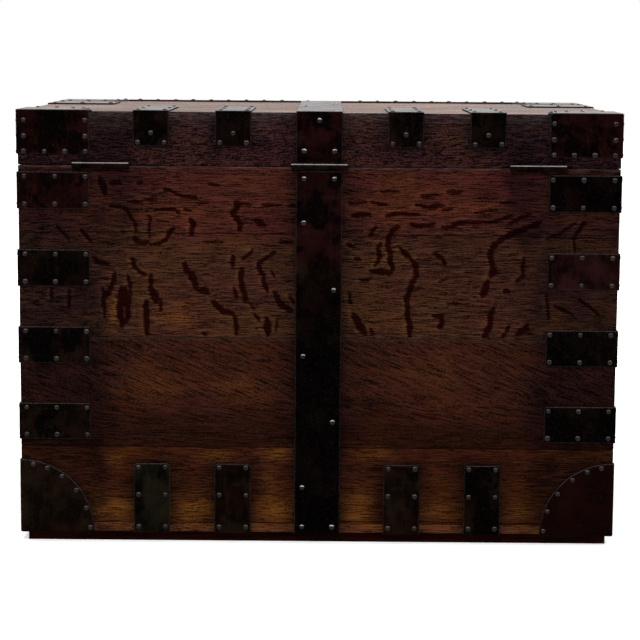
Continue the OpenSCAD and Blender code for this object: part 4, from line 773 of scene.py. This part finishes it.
RAYS_RIGHT = (
    (1.8, 10, 33, 15, 32, 22, 32), (1.3, 35, 33, 42, 31, 50, 31, 59, 32), (1.4, 23, 47, 25, 43, 27, 41),
    (1.5, 31, 53, 29, 57, 30, 63, 27, 70),
    (1.9, 44, 41, 40, 43, 37, 48, 36, 55, 38, 61, 38, 67, 40, 72, 37, 76), (2.2, 24, 74, 30, 74, 38, 74),
    (1, 16, 80, 21, 80, 24, 78),
    (1.9, 46, 57, 50, 62, 55, 66, 57, 71, 57, 77, 54, 82, 52, 88, 50, 94, 51, 100, 51, 106, 53, 113, 53, 122),
    (1.5, 53, 39, 60, 40, 66, 40, 70, 38), (1.6, 75, 41, 82, 41, 87, 38, 93, 37),
    (1, 93, 37, 107, 37, 116, 36, 122, 33, 127, 32), (1.3, 57, 25, 66, 26, 77, 25), (1.2, 76, 28, 83, 27),
    (1, 24, 23, 36, 25), (1, 100, 30, 107, 29, 115, 28), (0.8, 118, 23, 128, 22),
    (1.1, 140, 31, 134, 33, 130, 36, 124, 38),
    (2.3, 147, 37, 140, 40, 133, 43, 125, 46, 119, 50, 114, 54, 112, 58, 111, 63, 113, 68, 114, 73, 112, 77),
    (3, 110, 81, 108, 86, 106, 91), (2.2, 114, 100, 112, 107, 112, 113, 109, 119, 107, 122),
    (1.4, 70, 60, 73, 62, 77, 65, 78, 68), (1.4, 136, 63, 135, 70, 136, 77, 131, 80),
    (1.2, 126, 113, 124, 118, 121, 122), (2.4, 140, 112, 136, 117, 132, 120),
    (2, 70, 106, 76, 107, 77, 111, 75, 115), (3.2, 11, 105, 14, 110, 17, 115, 20, 121), (1, 24, 116, 26, 121),
    (0.7, 80, 97, 90, 97), (0.9, 74, 81, 79, 79), (1.1, 79, 15, 89, 15), (1.8, 122, 88, 125, 88),
    (1.8, 12, 64, 16, 65), (1.3, 7, 54, 10, 55), (1.3, 8, 90, 9, 97), (1, 173, 37, 163, 44, 152, 49),
    (1.6, 179, 37, 172, 48), (0.8, 172, 48, 173, 58), (1.3, 159, 98, 173, 105), (1.3, 177, 93, 192, 104),
    (0.9, 153, 89, 155, 108), (0.8, 93, 74, 97, 74), (1, 8, 24, 20, 23), (0.9, 60, 18, 72, 17),
    (0.9, 30, 15, 44, 15),
)
SQUARE, LEFT_FROM, RIGHT_FROM, RAYS_FROM_Z, RAYS_END = 2.07, 352.0, -30.0, 575.0, (318, 323)


def rays_on_back(x, z):
    """How dark the rays leave each place of the upper back board, and how much painted highlight lies beside
    them.
    """
    dark, ray_highlight = np.zeros(x.shape), np.zeros(x.shape)
    wobble_x, wobble_z = (3.0 * (rough(x / 8, z / 8, seed) - 0.5) for seed in (11, 12))
    for left, strokes in ((LEFT_FROM, RAYS_LEFT), (RIGHT_FROM, RAYS_RIGHT)):
        h, v = (left - x + wobble_x) / SQUARE, (RAYS_FROM_Z - z + wobble_z) / SQUARE
        for width, *spots in strokes:
            half, spots = width * 0.92, np.array(spots, float).reshape(-1, 2)
            lo, hi = spots.min(0) - 9, spots.max(0) + 9
            near = (h > lo[0]) & (h < hi[0]) & (v > lo[1]) & (v < hi[1])
            if not near.any():
                continue
            strength = min(1, 0.64 + 0.18 * width)
            # The second pass, shifted to one side of each ray, is a painted highlight along it.
            for shift, inner, outer, kept in ((0, half * 0.30, half + 1.6, dark),
                                              (2.2, half * 0.6, half + 3.0, ray_highlight)):
                hn, vn = h[near] + shift, v[near] + shift * 0.4
                far = np.full(hn.shape, 99.0)
                for k, (a, b) in enumerate(zip(spots[:-1], spots[1:])):
                    way = b - a
                    t = np.clip(((hn - a[0]) * way[0] + (vn - a[1]) * way[1]) / way.dot(way), 0, 1)
                    end = 2 * np.minimum(k + t, len(spots) - 1 - k - t)
                    thin = half * 0.35 * (1 - np.clip(end, 0, 1))
                    far = np.minimum(far, np.hypot(hn - a[0] - t * way[0], vn - a[1] - t * way[1]) + thin)
                far = far + half * 0.7 * (rough(hn / 4, vn / 4, 14) - 0.5)
                kept[near] = np.maximum(kept[near], strength * ease(far, outer, inner))
    low_end = ease(z, *RAYS_END)
    return dark * low_end, ray_highlight * (1 - dark) * low_end


# Orange glows in the back's boards: (x, z, half width, half height, strength)
GLOWS = (
    (310, 130, 14, 9, 0.6), (156, 134, 26, 8, 0.85), (60, 138, 22, 10, 0.7), (-86, 138, 24, 10, 0.5),
    (310, 50, 38, 20, 0.75), (190, 48, 36, 20, 0.95), (62, 48, 32, 18, 0.8), (-66, 66, 22, 22, 0.6),
    (-185, 48, 36, 15, 0.5), (-307, 48, 30, 15, 0.35), (75, 90, 14, 34, 0.25), (-60, 40, 22, 14, 0.5),
    (250, 250, 40, 30, 0.14), (120, 240, 40, 20, 0.14), (-180, 270, 50, 30, 0.12), (218, 347, 32, 12, 0.38),
    (313, 352, 7, 26, 0.42), (210, 370, 26, 8, 0.20), (-363, 350, 8, 8, 0.60), (250, 505, 60, 16, 0.10),
    (-230, 520, 70, 12, 0.16), (-90, 350, 60, 18, 0.12),
)


def glow_on_back(x, z):
    total = np.zeros(x.shape)
    for gx, gz, rx, rz, strength in GLOWS:
        total = total + strength * np.exp(-((x - gx) / rx) ** 2 - ((z - gz) / rz) ** 2)
    return np.clip(total * (0.6 + 0.8 * rough(x / 40, z / 5, 21)), 0, 0.85)


def face_values(side, flat, rays):
    """The patterns kept on a board's vertices."""
    u, z = along_face(side, flat[:, 0], flat[:, 1]), flat[:, 2]
    top = z.max()
    # Dust and painted highlight: the boards turn lighter grey toward their top edges, as dust and as light
    # from above catching the edges.
    if top > Z_SEAM:
        dust_and_highlight = 0.5 * np.exp(-(Z_TOP - z) / 12) * rough(u / 45, z / 7, side + 33)
    else:
        share = {Z_RIM: 0.75, Z_BACK_MIDDLE: 0.2}.get(top, 0.0)
        dust_and_highlight = np.exp(-(top - z) / 1.1) * (0.35 + 0.65 * rough(u / 25, z / 4, side + 31)) * share
    none = np.zeros(len(u))
    fleck, ray_highlight = rays_on_back(flat[:, 0], z) if rays else (none, none)
    glow = glow_on_back(flat[:, 0], z) * (z < Z_RIM) if side == BACK else none
    return {"stain": stain_on(side, u, z), "fleck": fleck, "ray_highlight": ray_highlight, "glow": glow, "dust_and_highlight": dust_and_highlight}


# Finishes
upper_oak = oak("back_upper_oak", (0.0515, 0.0178, 0.0128), (0.0044, 0.0012, 0.0009), (0, 0, 0), ripple=0.006,
                shake=0.477, blush=(0.44, 0.52, (0.96, 1.08, 0.92), (1.10, 0.86, 0.92)))
middle_oak = oak("back_middle_oak", (0.0355, 0.0116, 0.0076), (0.0044, 0.0012, 0.0007), (2.3, 0, 0),
                 blush=(0.18, 0.235, (0.62, 0.60, 0.55), (1.0, 1.0, 1.0)), warm=(1.20, 1.00, 0.66),
                 slants=((0.40, 0.222, 0.330), (0.16, 0.180, 0.222)), depth=1.12, mottle=2.4)
lower_oak = oak("back_lower_oak", (0.0470, 0.0130, 0.0058), (0.0080, 0.0018, 0.0008), (4.1, 0, 0),
                shake=0.0308)
bottom_oak = oak("bottom_oak", (0.135, 0.0470, 0.0185), (0.0180, 0.0048, 0.0020), (5.3, 0, 0))
lid_oak = oak("lid_rim_oak", (0.0450, 0.0164, 0.0160), (0.0040, 0.0012, 0.0012), (6.7, 0, 0),
              depth=1.45, mottle=2.6, short=2.2)
top_oak = bleached_oak()
front_oak = oak("front_oak", (0.055, 0.0188, 0.0108), (0.0080, 0.0022, 0.0013), (13.9, 0, 0), rays=0.6)
end_oak = oak("end_oak", (0.054, 0.0184, 0.0106), (0.0080, 0.0022, 0.0013), (0, 15.2, 0), along=1, rays=0.7)
plate_iron = blackened_iron("plate_iron", (0.0042, 0.0029, 0.0024))
top_iron = blackened_iron("top_iron", (0.030, 0.0265, 0.0240), TOP_GLOSS, (0.060, 0.052, 0.048),
                          rust=(0.040, 0.020, 0.014), shine=(0.22, 0.42), hue_share=0.35, dented=0.35)
nail_iron = forged_nail()
fitting_iron = blackened_iron("fitting_iron", (0.0080, 0.0060, 0.0056), gloss=0.06, plates=False, scale=1.6)
# The hinge iron paints a highlight on its upward faces: the barrels' tops and the centre straps' top edges.
hinge_iron = blackened_iron("hinge_iron", (0.0028, 0.0019, 0.0016), gloss=0.004, plates=False, scale=2.2,
                            shine=(0.20, 0.34), lit_tone=(0.30, 0.265, 0.25))


# Boards
def boards(name, boxes, side, mats, pitch, seed, body="chest", r=WEAR_R, rays=False):
    """A piece of one or more boards, in place of the solids of the same name."""
    parts = []
    for i, (low, high) in enumerate(boxes):
        verts, quads, flat = block(low, high, pitch, r, seed + i)
        parts.append((verts, quads, face_values(side, flat, rays)))
    make("oak_" + name, parts, body, mats, name)


x0, x1 = X_ENDS
y_inside = Y_FRONT + BOARD_T, Y_BACK - BOARD_T
y_back, y_front = (y_inside[1], Y_BACK), (Y_FRONT, y_inside[0])
COARSE, ENDS_PITCH = (6, 6, 5), (6, 5, 5)
for name, z0, z1, side, mat, pitch, seed in (
        ("back_upper_board", Z_BACK_MIDDLE + JOINT_GAP, Z_RIM, BACK, upper_oak, (2.6, 6, 2.6), 1),
        ("back_middle_board", Z_BACK_LOW + JOINT_GAP, Z_BACK_MIDDLE, BACK, middle_oak, (5, 6, 5), 2),
        ("back_lower_board", Z_WALL, Z_BACK_LOW, BACK, lower_oak, (5, 6, 5), 3),
        ("front_upper_board", Z_FRONT_MIDDLE + JOINT_GAP, Z_RIM, FRONT, front_oak, COARSE, 4),
        ("front_middle_board", Z_FRONT_LOW + JOINT_GAP, Z_FRONT_MIDDLE, FRONT, front_oak, COARSE, 5),
        ("front_lower_board", Z_WALL, Z_FRONT_LOW, FRONT, front_oak, COARSE, 6),
        ("lid_back_rim", Z_LID, Z_CEILING, BACK, lid_oak, (5, 6, 5), 7),
        ("lid_front_rim", Z_LID, Z_CEILING, FRONT, lid_oak, COARSE, 8)):
    y0, y1 = y_back if side == BACK else y_front
    body, r = ("lid", LID_WEAR_R) if name.startswith("lid") else ("chest", WEAR_R)
    boards(name, [((x0, y0, z0), (x1, y1, z1))], side, (mat,), pitch, seed, body, r, mat is upper_oak)

for side, word, (a, b) in ((LEFT, "left", (x0, x0 + BOARD_T)), (RIGHT, "right", (x1 - BOARD_T, x1))):
    spans = (Z_WALL, Z_END_LOW), (Z_END_LOW + JOINT_GAP, Z_RIM)
    boards(word + "_end_boards", [((a, y_inside[0], z0), (b, y_inside[1], z1)) for z0, z1 in spans],
           side, (end_oak,), ENDS_PITCH, 20 + side)
    boards("lid_%s_rim" % word, [((a, y_inside[0], Z_LID), (b, y_inside[1], Z_CEILING))],
           side, (end_oak,), ENDS_PITCH, 30 + side, "lid", LID_WEAR_R)

third = (BODY_D - 2 * JOINT_GAP) / 3
thirds = [Y_FRONT + i * (third + JOINT_GAP) for i in range(3)]
boards("lid_top_boards", [((x0, y, Z_CEILING), (x1, y + third, Z_TOP)) for y in thirds], BACK,
       (lid_oak, top_oak), (6, 6, 4), 40, "lid", LID_WEAR_R)
boards("bottom_boards", [((x0, y, Z_BASE), (x1, y + third, Z_WALL)) for y in thirds], BACK,
       (bottom_oak,), (6, 8, 4), 50)


# Iron. Tints run over HUES; those between black and brown, or near violet, are burnt in patches. EVEN says
# how far a piece's cloudy colour is evened out, and STRAP_BROWNS between which heights a strap turns brown.
EVEN, STRAP_BROWNS = {"back_left_base_cap": 0.7, "back_right_base_cap": 0.2}, (390, 470)


def iron(name, parts, body="chest"):
    for verts, _, kept in parts:
        if name in ("back_centre_strap", "front_centre_strap"):
            blotch = rough(verts[:, 2] / 40, verts[:, 0] / 30) - 0.5
            kept["tint"] = 0.30 + 0.58 * ease(verts[:, 2] + 50 * blotch, *STRAP_BROWNS)
        tint = kept["tint"]
        kept["even"] = np.full(len(tint), EVEN.get(name, 0.0))
        kept["burnt"] = ((tint > 0.2) & (tint < 0.5)) | ((tint > 0.83) & (tint < 0.97))
    # Upward faces of the body's centre straps take the hinge iron, for its painted highlight along their top
    # edges.
    upper = {"lid": (top_iron,), "chest": (hinge_iron,) if "strap" in name else ()}[body]
    make("iron_" + name, parts, body, (plate_iron, *upper), name)


def disc_depth(a, b):
    """How far a place of the square grid lies inside the round that the grid is pulled to."""
    return CAP_R * (1 - np.sqrt(np.clip(a * a + b * b - a * a * b * b, 0, 1)))


def quarter_depth(a, b):
    return np.minimum(disc_depth(a, b), np.minimum(a, b) * CAP_R)


def to_round(a, b):
    return a * np.sqrt(1 - b * b / 2) * CAP_R, b * np.sqrt(1 - a * a / 2) * CAP_R


close = 1 - np.array([0, 0.003, 0.007, 0.012])
wide_grid = np.concatenate([-close, np.linspace(-0.96, 0.96, 55), close[::-1]])
high_grid = np.concatenate([np.linspace(0, 0.96, 28), close[::-1]])
corner_grid = np.concatenate([[0, 0.006, 0.013, 0.02], np.linspace(0.05, 0.96, 26), close[::-1]])
across_corner = spread(-LEG - ARC, LEG + ARC, also=bend_places(-ARC))

for sx, sy, tones in ((1, 1, (0.88, 0.38, 0.48, 0.46)), (-1, 1, (0.30, 1.00, 0.25, 0.33)),
                      (1, -1, (0.40, 0.20, 0.55, 0.30)), (-1, -1, (0.25, 0.50, 0.35, 0.60))):
    word = "%s_%s" % ("back" if sy > 0 else "front", "right" if sx > 0 else "left")
    iron(word + "_corner_plates", [
        slab(across_corner, spread(z - PLATE_H / 2, z + PLATE_H / 2), round_corner(sx, sy, LEG),
             seed=i + 10 * sx + 3 * sy + 40, tint=tones[i], corner=4.0) for i, z in enumerate(CORNER_Z)])

    # Base caps: two quarter rounds as one half round, and lips under the body
    wide = round_corner(sx, sy, CAP_R)

    def half_disc(a, b, n):
        u, w = to_round(a, b)
        return wide(u + np.clip(u / 2, -ARC, ARC), Z_BASE + w, n)

    parts = [slab(wide_grid, high_grid, half_disc, disc_depth, seed=60 + sx + 3 * sy, corner=0,
                  tint={1: 0.60, -1: 0.78}[sx])]
    for side, way in ((BACK, -sx) if sy > 0 else (FRONT, sx), (RIGHT, sy) if sx > 0 else (LEFT, -sy)):
        ends = sorted((way * half_of(side), way * half_of(side) - way * CAP_R))
        path = over_edge(LIP_RISE, LIP, under=True)
        us, vs = steps(*ends, LIP_STEP, EDGE_R), spread(0, path.length, 0.4, bend_places(LIP_RISE))
        inset = box_inset(us[0] - OFF, us[-1] + OFF, vs[0] - OFF, vs[-1])
        parts.append(slab(us, vs, up_and_down(side, path), inset, seed=70))
    iron(word + "_base_cap", parts)

BASE_CLIP = CLIP_W, CLIP_H, LIP
for side, word in ((BACK, "back"), (FRONT, "front")):
    iron(word + "_base_clips", strips_over(side, CLIPS_AT, *BASE_CLIP, range(5 * side, 5 * side + 4),
                                           (0.05, 0.62, 0.58, 0.42), True))
    iron(word + "_centre_strap", strips_over(side, (0,), STRAP_W, STRAP_H - STRAP_GAP - STRAP_SHORT, LIP,
                                             (90 + side,), (0.76,), True))
iron("end_base_clips", strips_over(LEFT, END_CLIPS_AT, *BASE_CLIP, (33, 34), (0.30, 0.12), True)
     + strips_over(RIGHT, END_CLIPS_AT, *BASE_CLIP, (31, 32), (0.62, 0.20), True))

drop, half = Z_TOP - Z_SEAM - STRAP_GAP, BODY_D / 2
over = wrap(((half, Z_TOP - drop), (0, 1), (1, 0), drop), ((half, Z_TOP), (-1, 0), (0, 1), BODY_D),
            ((-half, Z_TOP), (0, -1), (-1, 0), drop))


def over_lid(u, s, n):
    p = over(s, n)
    return np.stack([u, MID_Y + p[..., 0], p[..., 1]], -1)


vs = spread(0, over.length, also=bend_places(drop) + bend_places(drop + 2 * ARC + BODY_D))
iron("lid_centre_strap", [slab(spread(-STRAP_W / 2, STRAP_W / 2), vs, over_lid, seed=95, tint=0.85)], "lid")
iron("lid_back_clips", strips_over(BACK, CLIPS_AT, LID_CLIP_W, LID_CLIP_DROP, LID_CLIP_REACH, range(100, 104),
                                   (0.40, 0.34, 0.44, 0.36)), "lid")
iron("lid_end_clips", [strips_over(side, (end_clip_x(side),), END_CLIP_W, LID_CLIP_DROP, LEG, (110 + side,),
                                   (0.5,))[0] for side in (LEFT, RIGHT)], "lid")
iron("lid_edge_strips", strips_over(FRONT, [s * (EDGE_FROM + EDGE_TO) / 2 for s in BOTH], EDGE_TO - EDGE_FROM,
                                    EDGE_DROP, EDGE_TOP, (119, 121), (0.45, 0.45)), "lid")

# Lid caps: a plate round each corner, and a quarter round on the top that overlaps its upper edge a little
CAP_EDGE_R, CAP_RISE, CAP_LAP = 1.6, 2.2, 2.3
parts = []
for sx, sy in CORNERS:
    def top_quarter(a, b, n):
        u, w = to_round(a, b)
        u, w = u - CAP_LAP * (1 - a), w - CAP_LAP * (1 - b)
        return np.stack([sx * (BODY_W / 2 - u), MID_Y + sy * (BODY_D / 2 - w), Z_TOP + n], -1)

    parts.append(slab(across_corner, steps(Z_TOP - LID_CAP_DROP, Z_TOP + CAP_RISE, IRON_STEP, CAP_EDGE_R),
                      round_corner(sx, sy, LEG), r=CAP_EDGE_R, seed=130 + sx + 3 * sy, tint=0.85))
    parts.append(slab(corner_grid, corner_grid, top_quarter, quarter_depth, r=2.0, corner=0,
                      seed=140 + sx + 3 * sy, tint=0.62))
iron("lid_corner_caps", parts, "lid")


# Nails: one set for each body, made by a node tree from the nail spots
def nail_tree(mat):
    tree = bpy.data.node_groups.new("nail_heads", "GeometryNodeTree")
    face = tree.interface
    face.new_socket("Spots", in_out="INPUT", socket_type="NodeSocketGeometry")
    for key, value in (("Head radius", NAIL_R * MM), ("Head rise", NAIL_RISE * MM), ("Sink", NAIL_SINK * MM),
                       ("Tilt", NAIL_TILT), ("Uneven", NAIL_UNEVEN * MM)):
        face.new_socket(key, in_out="INPUT", socket_type="NodeSocketFloat").default_value = value
    face.new_socket("Seed", in_out="INPUT", socket_type="NodeSocketInt").default_value = NAIL_SEED
    face.new_socket("Heads", in_out="OUTPUT", socket_type="NodeSocketGeometry")

    g = Graph(tree)
    add = g.node
    into = {s.name: Val(g, s) for s in tree.nodes.new("NodeGroupInput").outputs}
    dome = add("GeometryNodeMeshUVSphere", {"Segments": 10, "Rings": 8, "Radius": 1.0}, "Mesh")
    x, y, z = g.axes(add("GeometryNodeInputPosition"))
    high = z.math("MAXIMUM", z, 0.0) * into["Head rise"] - into["Sink"]
    spot = g.xyz(x * into["Head radius"], y * into["Head radius"], high)
    dome = add("GeometryNodeSetPosition", {"Geometry": dome, "Position": spot})
    way = add("GeometryNodeInputNamedAttribute", {"Name": "way"}, data_type="FLOAT_VECTOR")
    turn = add("FunctionNodeAlignRotationToVector", {"Vector": way}, axis="Z")
    tilt = into["Tilt"]
    least, most = g.xyz(tilt * -1.0, tilt * -1.0, 0.0), g.xyz(tilt, tilt, NAIL_SPIN)
    spin = add("FunctionNodeRandomValue", {"Min": least, "Max": most, "Seed": into["Seed"]},
               data_type="FLOAT_VECTOR")
    spin = add("FunctionNodeEulerToRotation", {0: spin})
    turn = add("FunctionNodeRotateRotation", {"Rotation": turn, "Rotate By": spin}, rotation_space="LOCAL")
    size = add("FunctionNodeRandomValue", {2: NAIL_SMALL, 3: NAIL_LARGE, "Seed": into["Seed"]}, 1,
               data_type="FLOAT")
    heads = add("GeometryNodeInstanceOnPoints", {"Points": into["Spots"], "Instance": dome, "Rotation": turn,
                                                 "Scale": size})
    heads = add("GeometryNodeRealizeInstances", {"Geometry": heads})
    lumps = add("ShaderNodeTexNoise", {"Scale": NAIL_LUMPS, "Detail": 1.0}, "Color")
    lumps = add("ShaderNodeVectorMath", {0: lumps, 1: (0.5, 0.5, 0.5)}, operation="SUBTRACT")
    lumps = add("ShaderNodeVectorMath", {0: lumps, "Scale": into["Uneven"]}, operation="SCALE")
    heads = add("GeometryNodeSetPosition", {"Geometry": heads, "Offset": lumps})
    heads = add("GeometryNodeSetShadeSmooth", {"Geometry": heads})
    heads = add("GeometryNodeSetMaterial", {"Geometry": heads, "Material": mat})
    add("NodeGroupOutput", {"Heads": heads})
    return tree


heads_tree = nail_tree(nail_iron)


def nail_heads(name, rows, body, replaced):
    """rows is a list of (places in millimetres, the way their nails face)."""
    places = np.concatenate([p for p, _ in rows])
    ways = np.concatenate([np.tile(np.array(way, float), (len(p), 1)) for p, way in rows])
    mesh = bpy.data.meshes.new(name + "_spots")
    mesh.vertices.add(len(places))
    mesh.vertices.foreach_set("co", (places * MM).astype(np.float32).ravel())
    facing = mesh.attributes.new("way", "FLOAT_VECTOR", "POINT")
    facing.data.foreach_set("vector", ways.astype(np.float32).ravel())
    spots = bpy.data.objects.new(name + "_spots", mesh)
    bpy.context.scene.collection.objects.link(spots)
    spots.modifiers.new("heads", "NODES").node_group = heads_tree
    made = bpy.data.meshes.new_from_object(spots.evaluated_get(bpy.context.evaluated_depsgraph_get()))
    bpy.data.objects.remove(spots)
    add_piece(name, made, body, replaced)


def face_rows(side, spots, n):
    spots = np.array(spots, float)
    return on_face(side, spots[:, 0], spots[:, 1], n), ((0, -1, 0), (1, 0, 0), (0, 1, 0), (-1, 0, 0))[side]


rows = [face_rows(side, body_spots(side), IRON_T - NAIL_DEPTH) for side in FACES]
rows += [face_rows(side, HANDLE_SPOTS, HANDLE_T) for side in (LEFT, RIGHT)]
rows += [face_rows(FRONT, KEY_SPOTS, IRON_T + BRASS_T)]
nail_heads("body_nail_heads", rows, "chest", ("back_nails", "front_nails", "left_nails", "right_nails"))
rows = [face_rows(side, lid_spots(side), IRON_T - NAIL_DEPTH) for side in FACES]
tops = [(x, y + MID_Y, Z_TOP + IRON_T - NAIL_DEPTH) for x, y in top_spots()]
nail_heads("lid_nail_heads", rows + [(np.array(tops), (0, 0, 1))], "lid", ("lid_nails",))

# Finishes of the pieces that keep their first shape
for mat, names in (
        (plinth_finish(), ("plinth_rails",)),
        (planed_oak(), ("tray_runners", "tray_sides", "tray_bottom", "tray_dividers")),
        (baize(), ("chest_lining", "lid_lining", "tray_lining")),
        (hinge_iron, ("hinge_body_leaves", "hinge_lid_leaves", "hinge_pins")),
        (fitting_iron, ("left_handle_plate", "right_handle_plate", "left_handle", "right_handle")),
        (old_steel(), ("chest_screws", "lid_screws", "lock_case", "lock_cap", "key", "lock_link_plate")),
        (aged_brass(), ("lock_bolt", "escutcheon"))):
    for name in names:
        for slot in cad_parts[name].material_slots:
            slot.material = mat

# World and floor, white to the camera and in reflections, and dimmer as sources of light
scene = bpy.context.scene
scene.view_settings.view_transform = "Standard"
WHITE, WORLD_LIGHT, FLOOR_GREY = (1, 1, 1, 1), 0.50, (0.86, 0.86, 0.86, 1)
FLOOR_HALF, FLOOR_NEAR, FLOOR_FAR, FLOOR_DIM = 14.0, 0.8, 2.6, 0.26


def white_for(g):
    """A number that is 1 for the camera and in reflections, and 0 elsewhere."""
    rays = g.outputs(g.node("ShaderNodeLightPath"))
    total = rays["Is Camera Ray"]
    for key in ("Is Glossy Ray", "Is Transmission Ray"):
        total = total.math("MAXIMUM", total, rays[key])
    return total


scene.world = bpy.data.worlds.new("studio")
floor_mat = bpy.data.materials.new("pale_floor")
for owner in (scene.world, floor_mat):
    owner.use_nodes = True
    owner.node_tree.nodes.clear()

g = Graph(scene.world.node_tree)
seen, light = (g.node("ShaderNodeBackground", {"Color": WHITE, "Strength": s}) for s in (1.0, WORLD_LIGHT))
g.node("ShaderNodeOutputWorld", {0: g.node("ShaderNodeMixShader", {0: white_for(g), 1: light, 2: seen})})

g = Graph(floor_mat.node_tree)
place = g.node("ShaderNodeTexCoord", out="Object")
far = g.node("ShaderNodeVectorMath", {0: place}, "Value", operation="LENGTH")
fade = g.node("ShaderNodeMapRange", {"Value": far, "From Min": FLOOR_NEAR, "From Max": FLOOR_FAR,
                                     "To Min": FLOOR_DIM, "To Max": 1.0})
matt = g.node("ShaderNodeBsdfDiffuse", {"Color": FLOOR_GREY})
lift = g.node("ShaderNodeEmission", {"Color": WHITE, "Strength": white_for(g) * fade})
g.node("ShaderNodeOutputMaterial", {"Surface": g.node("ShaderNodeAddShader", {0: matt, 1: lift})})
mesh = bpy.data.meshes.new("floor")
w = FLOOR_HALF
mesh.from_pydata([(-w, -w, 0), (w, -w, 0), (w, w, 0), (-w, w, 0)], [], [(0, 1, 2, 3)])
mesh.materials.append(floor_mat)
floor = bpy.data.objects.new("floor", mesh)
scene.collection.objects.link(floor)

# Lamps: (name, place, size, power), all aimed at the middle of the chest
MIDDLE = Vector((0, MID_Y * MM, 0.33))
LAMPS = (("key_back", (0.7, 2.5, 2.5), 0.5, 68), ("key_front", (-1.7, -2.3, 2.5), 0.5, 68),
         ("side_left", (-2.4, 0.4, 2.7), 0.7, 46), ("side_right", (2.4, -0.2, 2.7), 0.7, 46))
for name, place, size, power in LAMPS:
    data = bpy.data.lights.new(name, "AREA")
    data.shape, data.size, data.size_y, data.energy = "RECTANGLE", size, size, power
    lamp = bpy.data.objects.new(name, data)
    scene.collection.objects.link(lamp)
    lamp.location = place
    lamp.rotation_euler = (MIDDLE - Vector(place)).to_track_quat("-Z", "Y").to_euler()

# The camera behind the chest, as fitted to the photograph
CAMERA_AT, CAMERA_LENS, CAMERA_TURNS = (-0.0129, 3.3689, 0.7575), 113.8, (-0.19, 7.65, 0.43)
camera = bpy.data.objects.new("camera", bpy.data.cameras.new("camera"))
scene.collection.objects.link(camera)
scene.camera = camera
camera.data.lens, camera.data.sensor_width = CAMERA_LENS, 36.0
camera.data.clip_start, camera.data.clip_end = 0.05, 100.0
yaw, pitch, roll = (math.radians(a) for a in CAMERA_TURNS)
ahead = Vector((-math.sin(yaw) * math.cos(pitch), -math.cos(yaw) * math.cos(pitch), -math.sin(pitch)))
right = Vector((-math.cos(yaw), math.sin(yaw), 0))
up = right.cross(ahead)
right, up = right * math.cos(roll) + up * math.sin(roll), up * math.cos(roll) - right * math.sin(roll)
turned = Matrix((right, up, -ahead)).transposed().to_4x4()
camera.matrix_world = Matrix.Translation(CAMERA_AT) @ turned
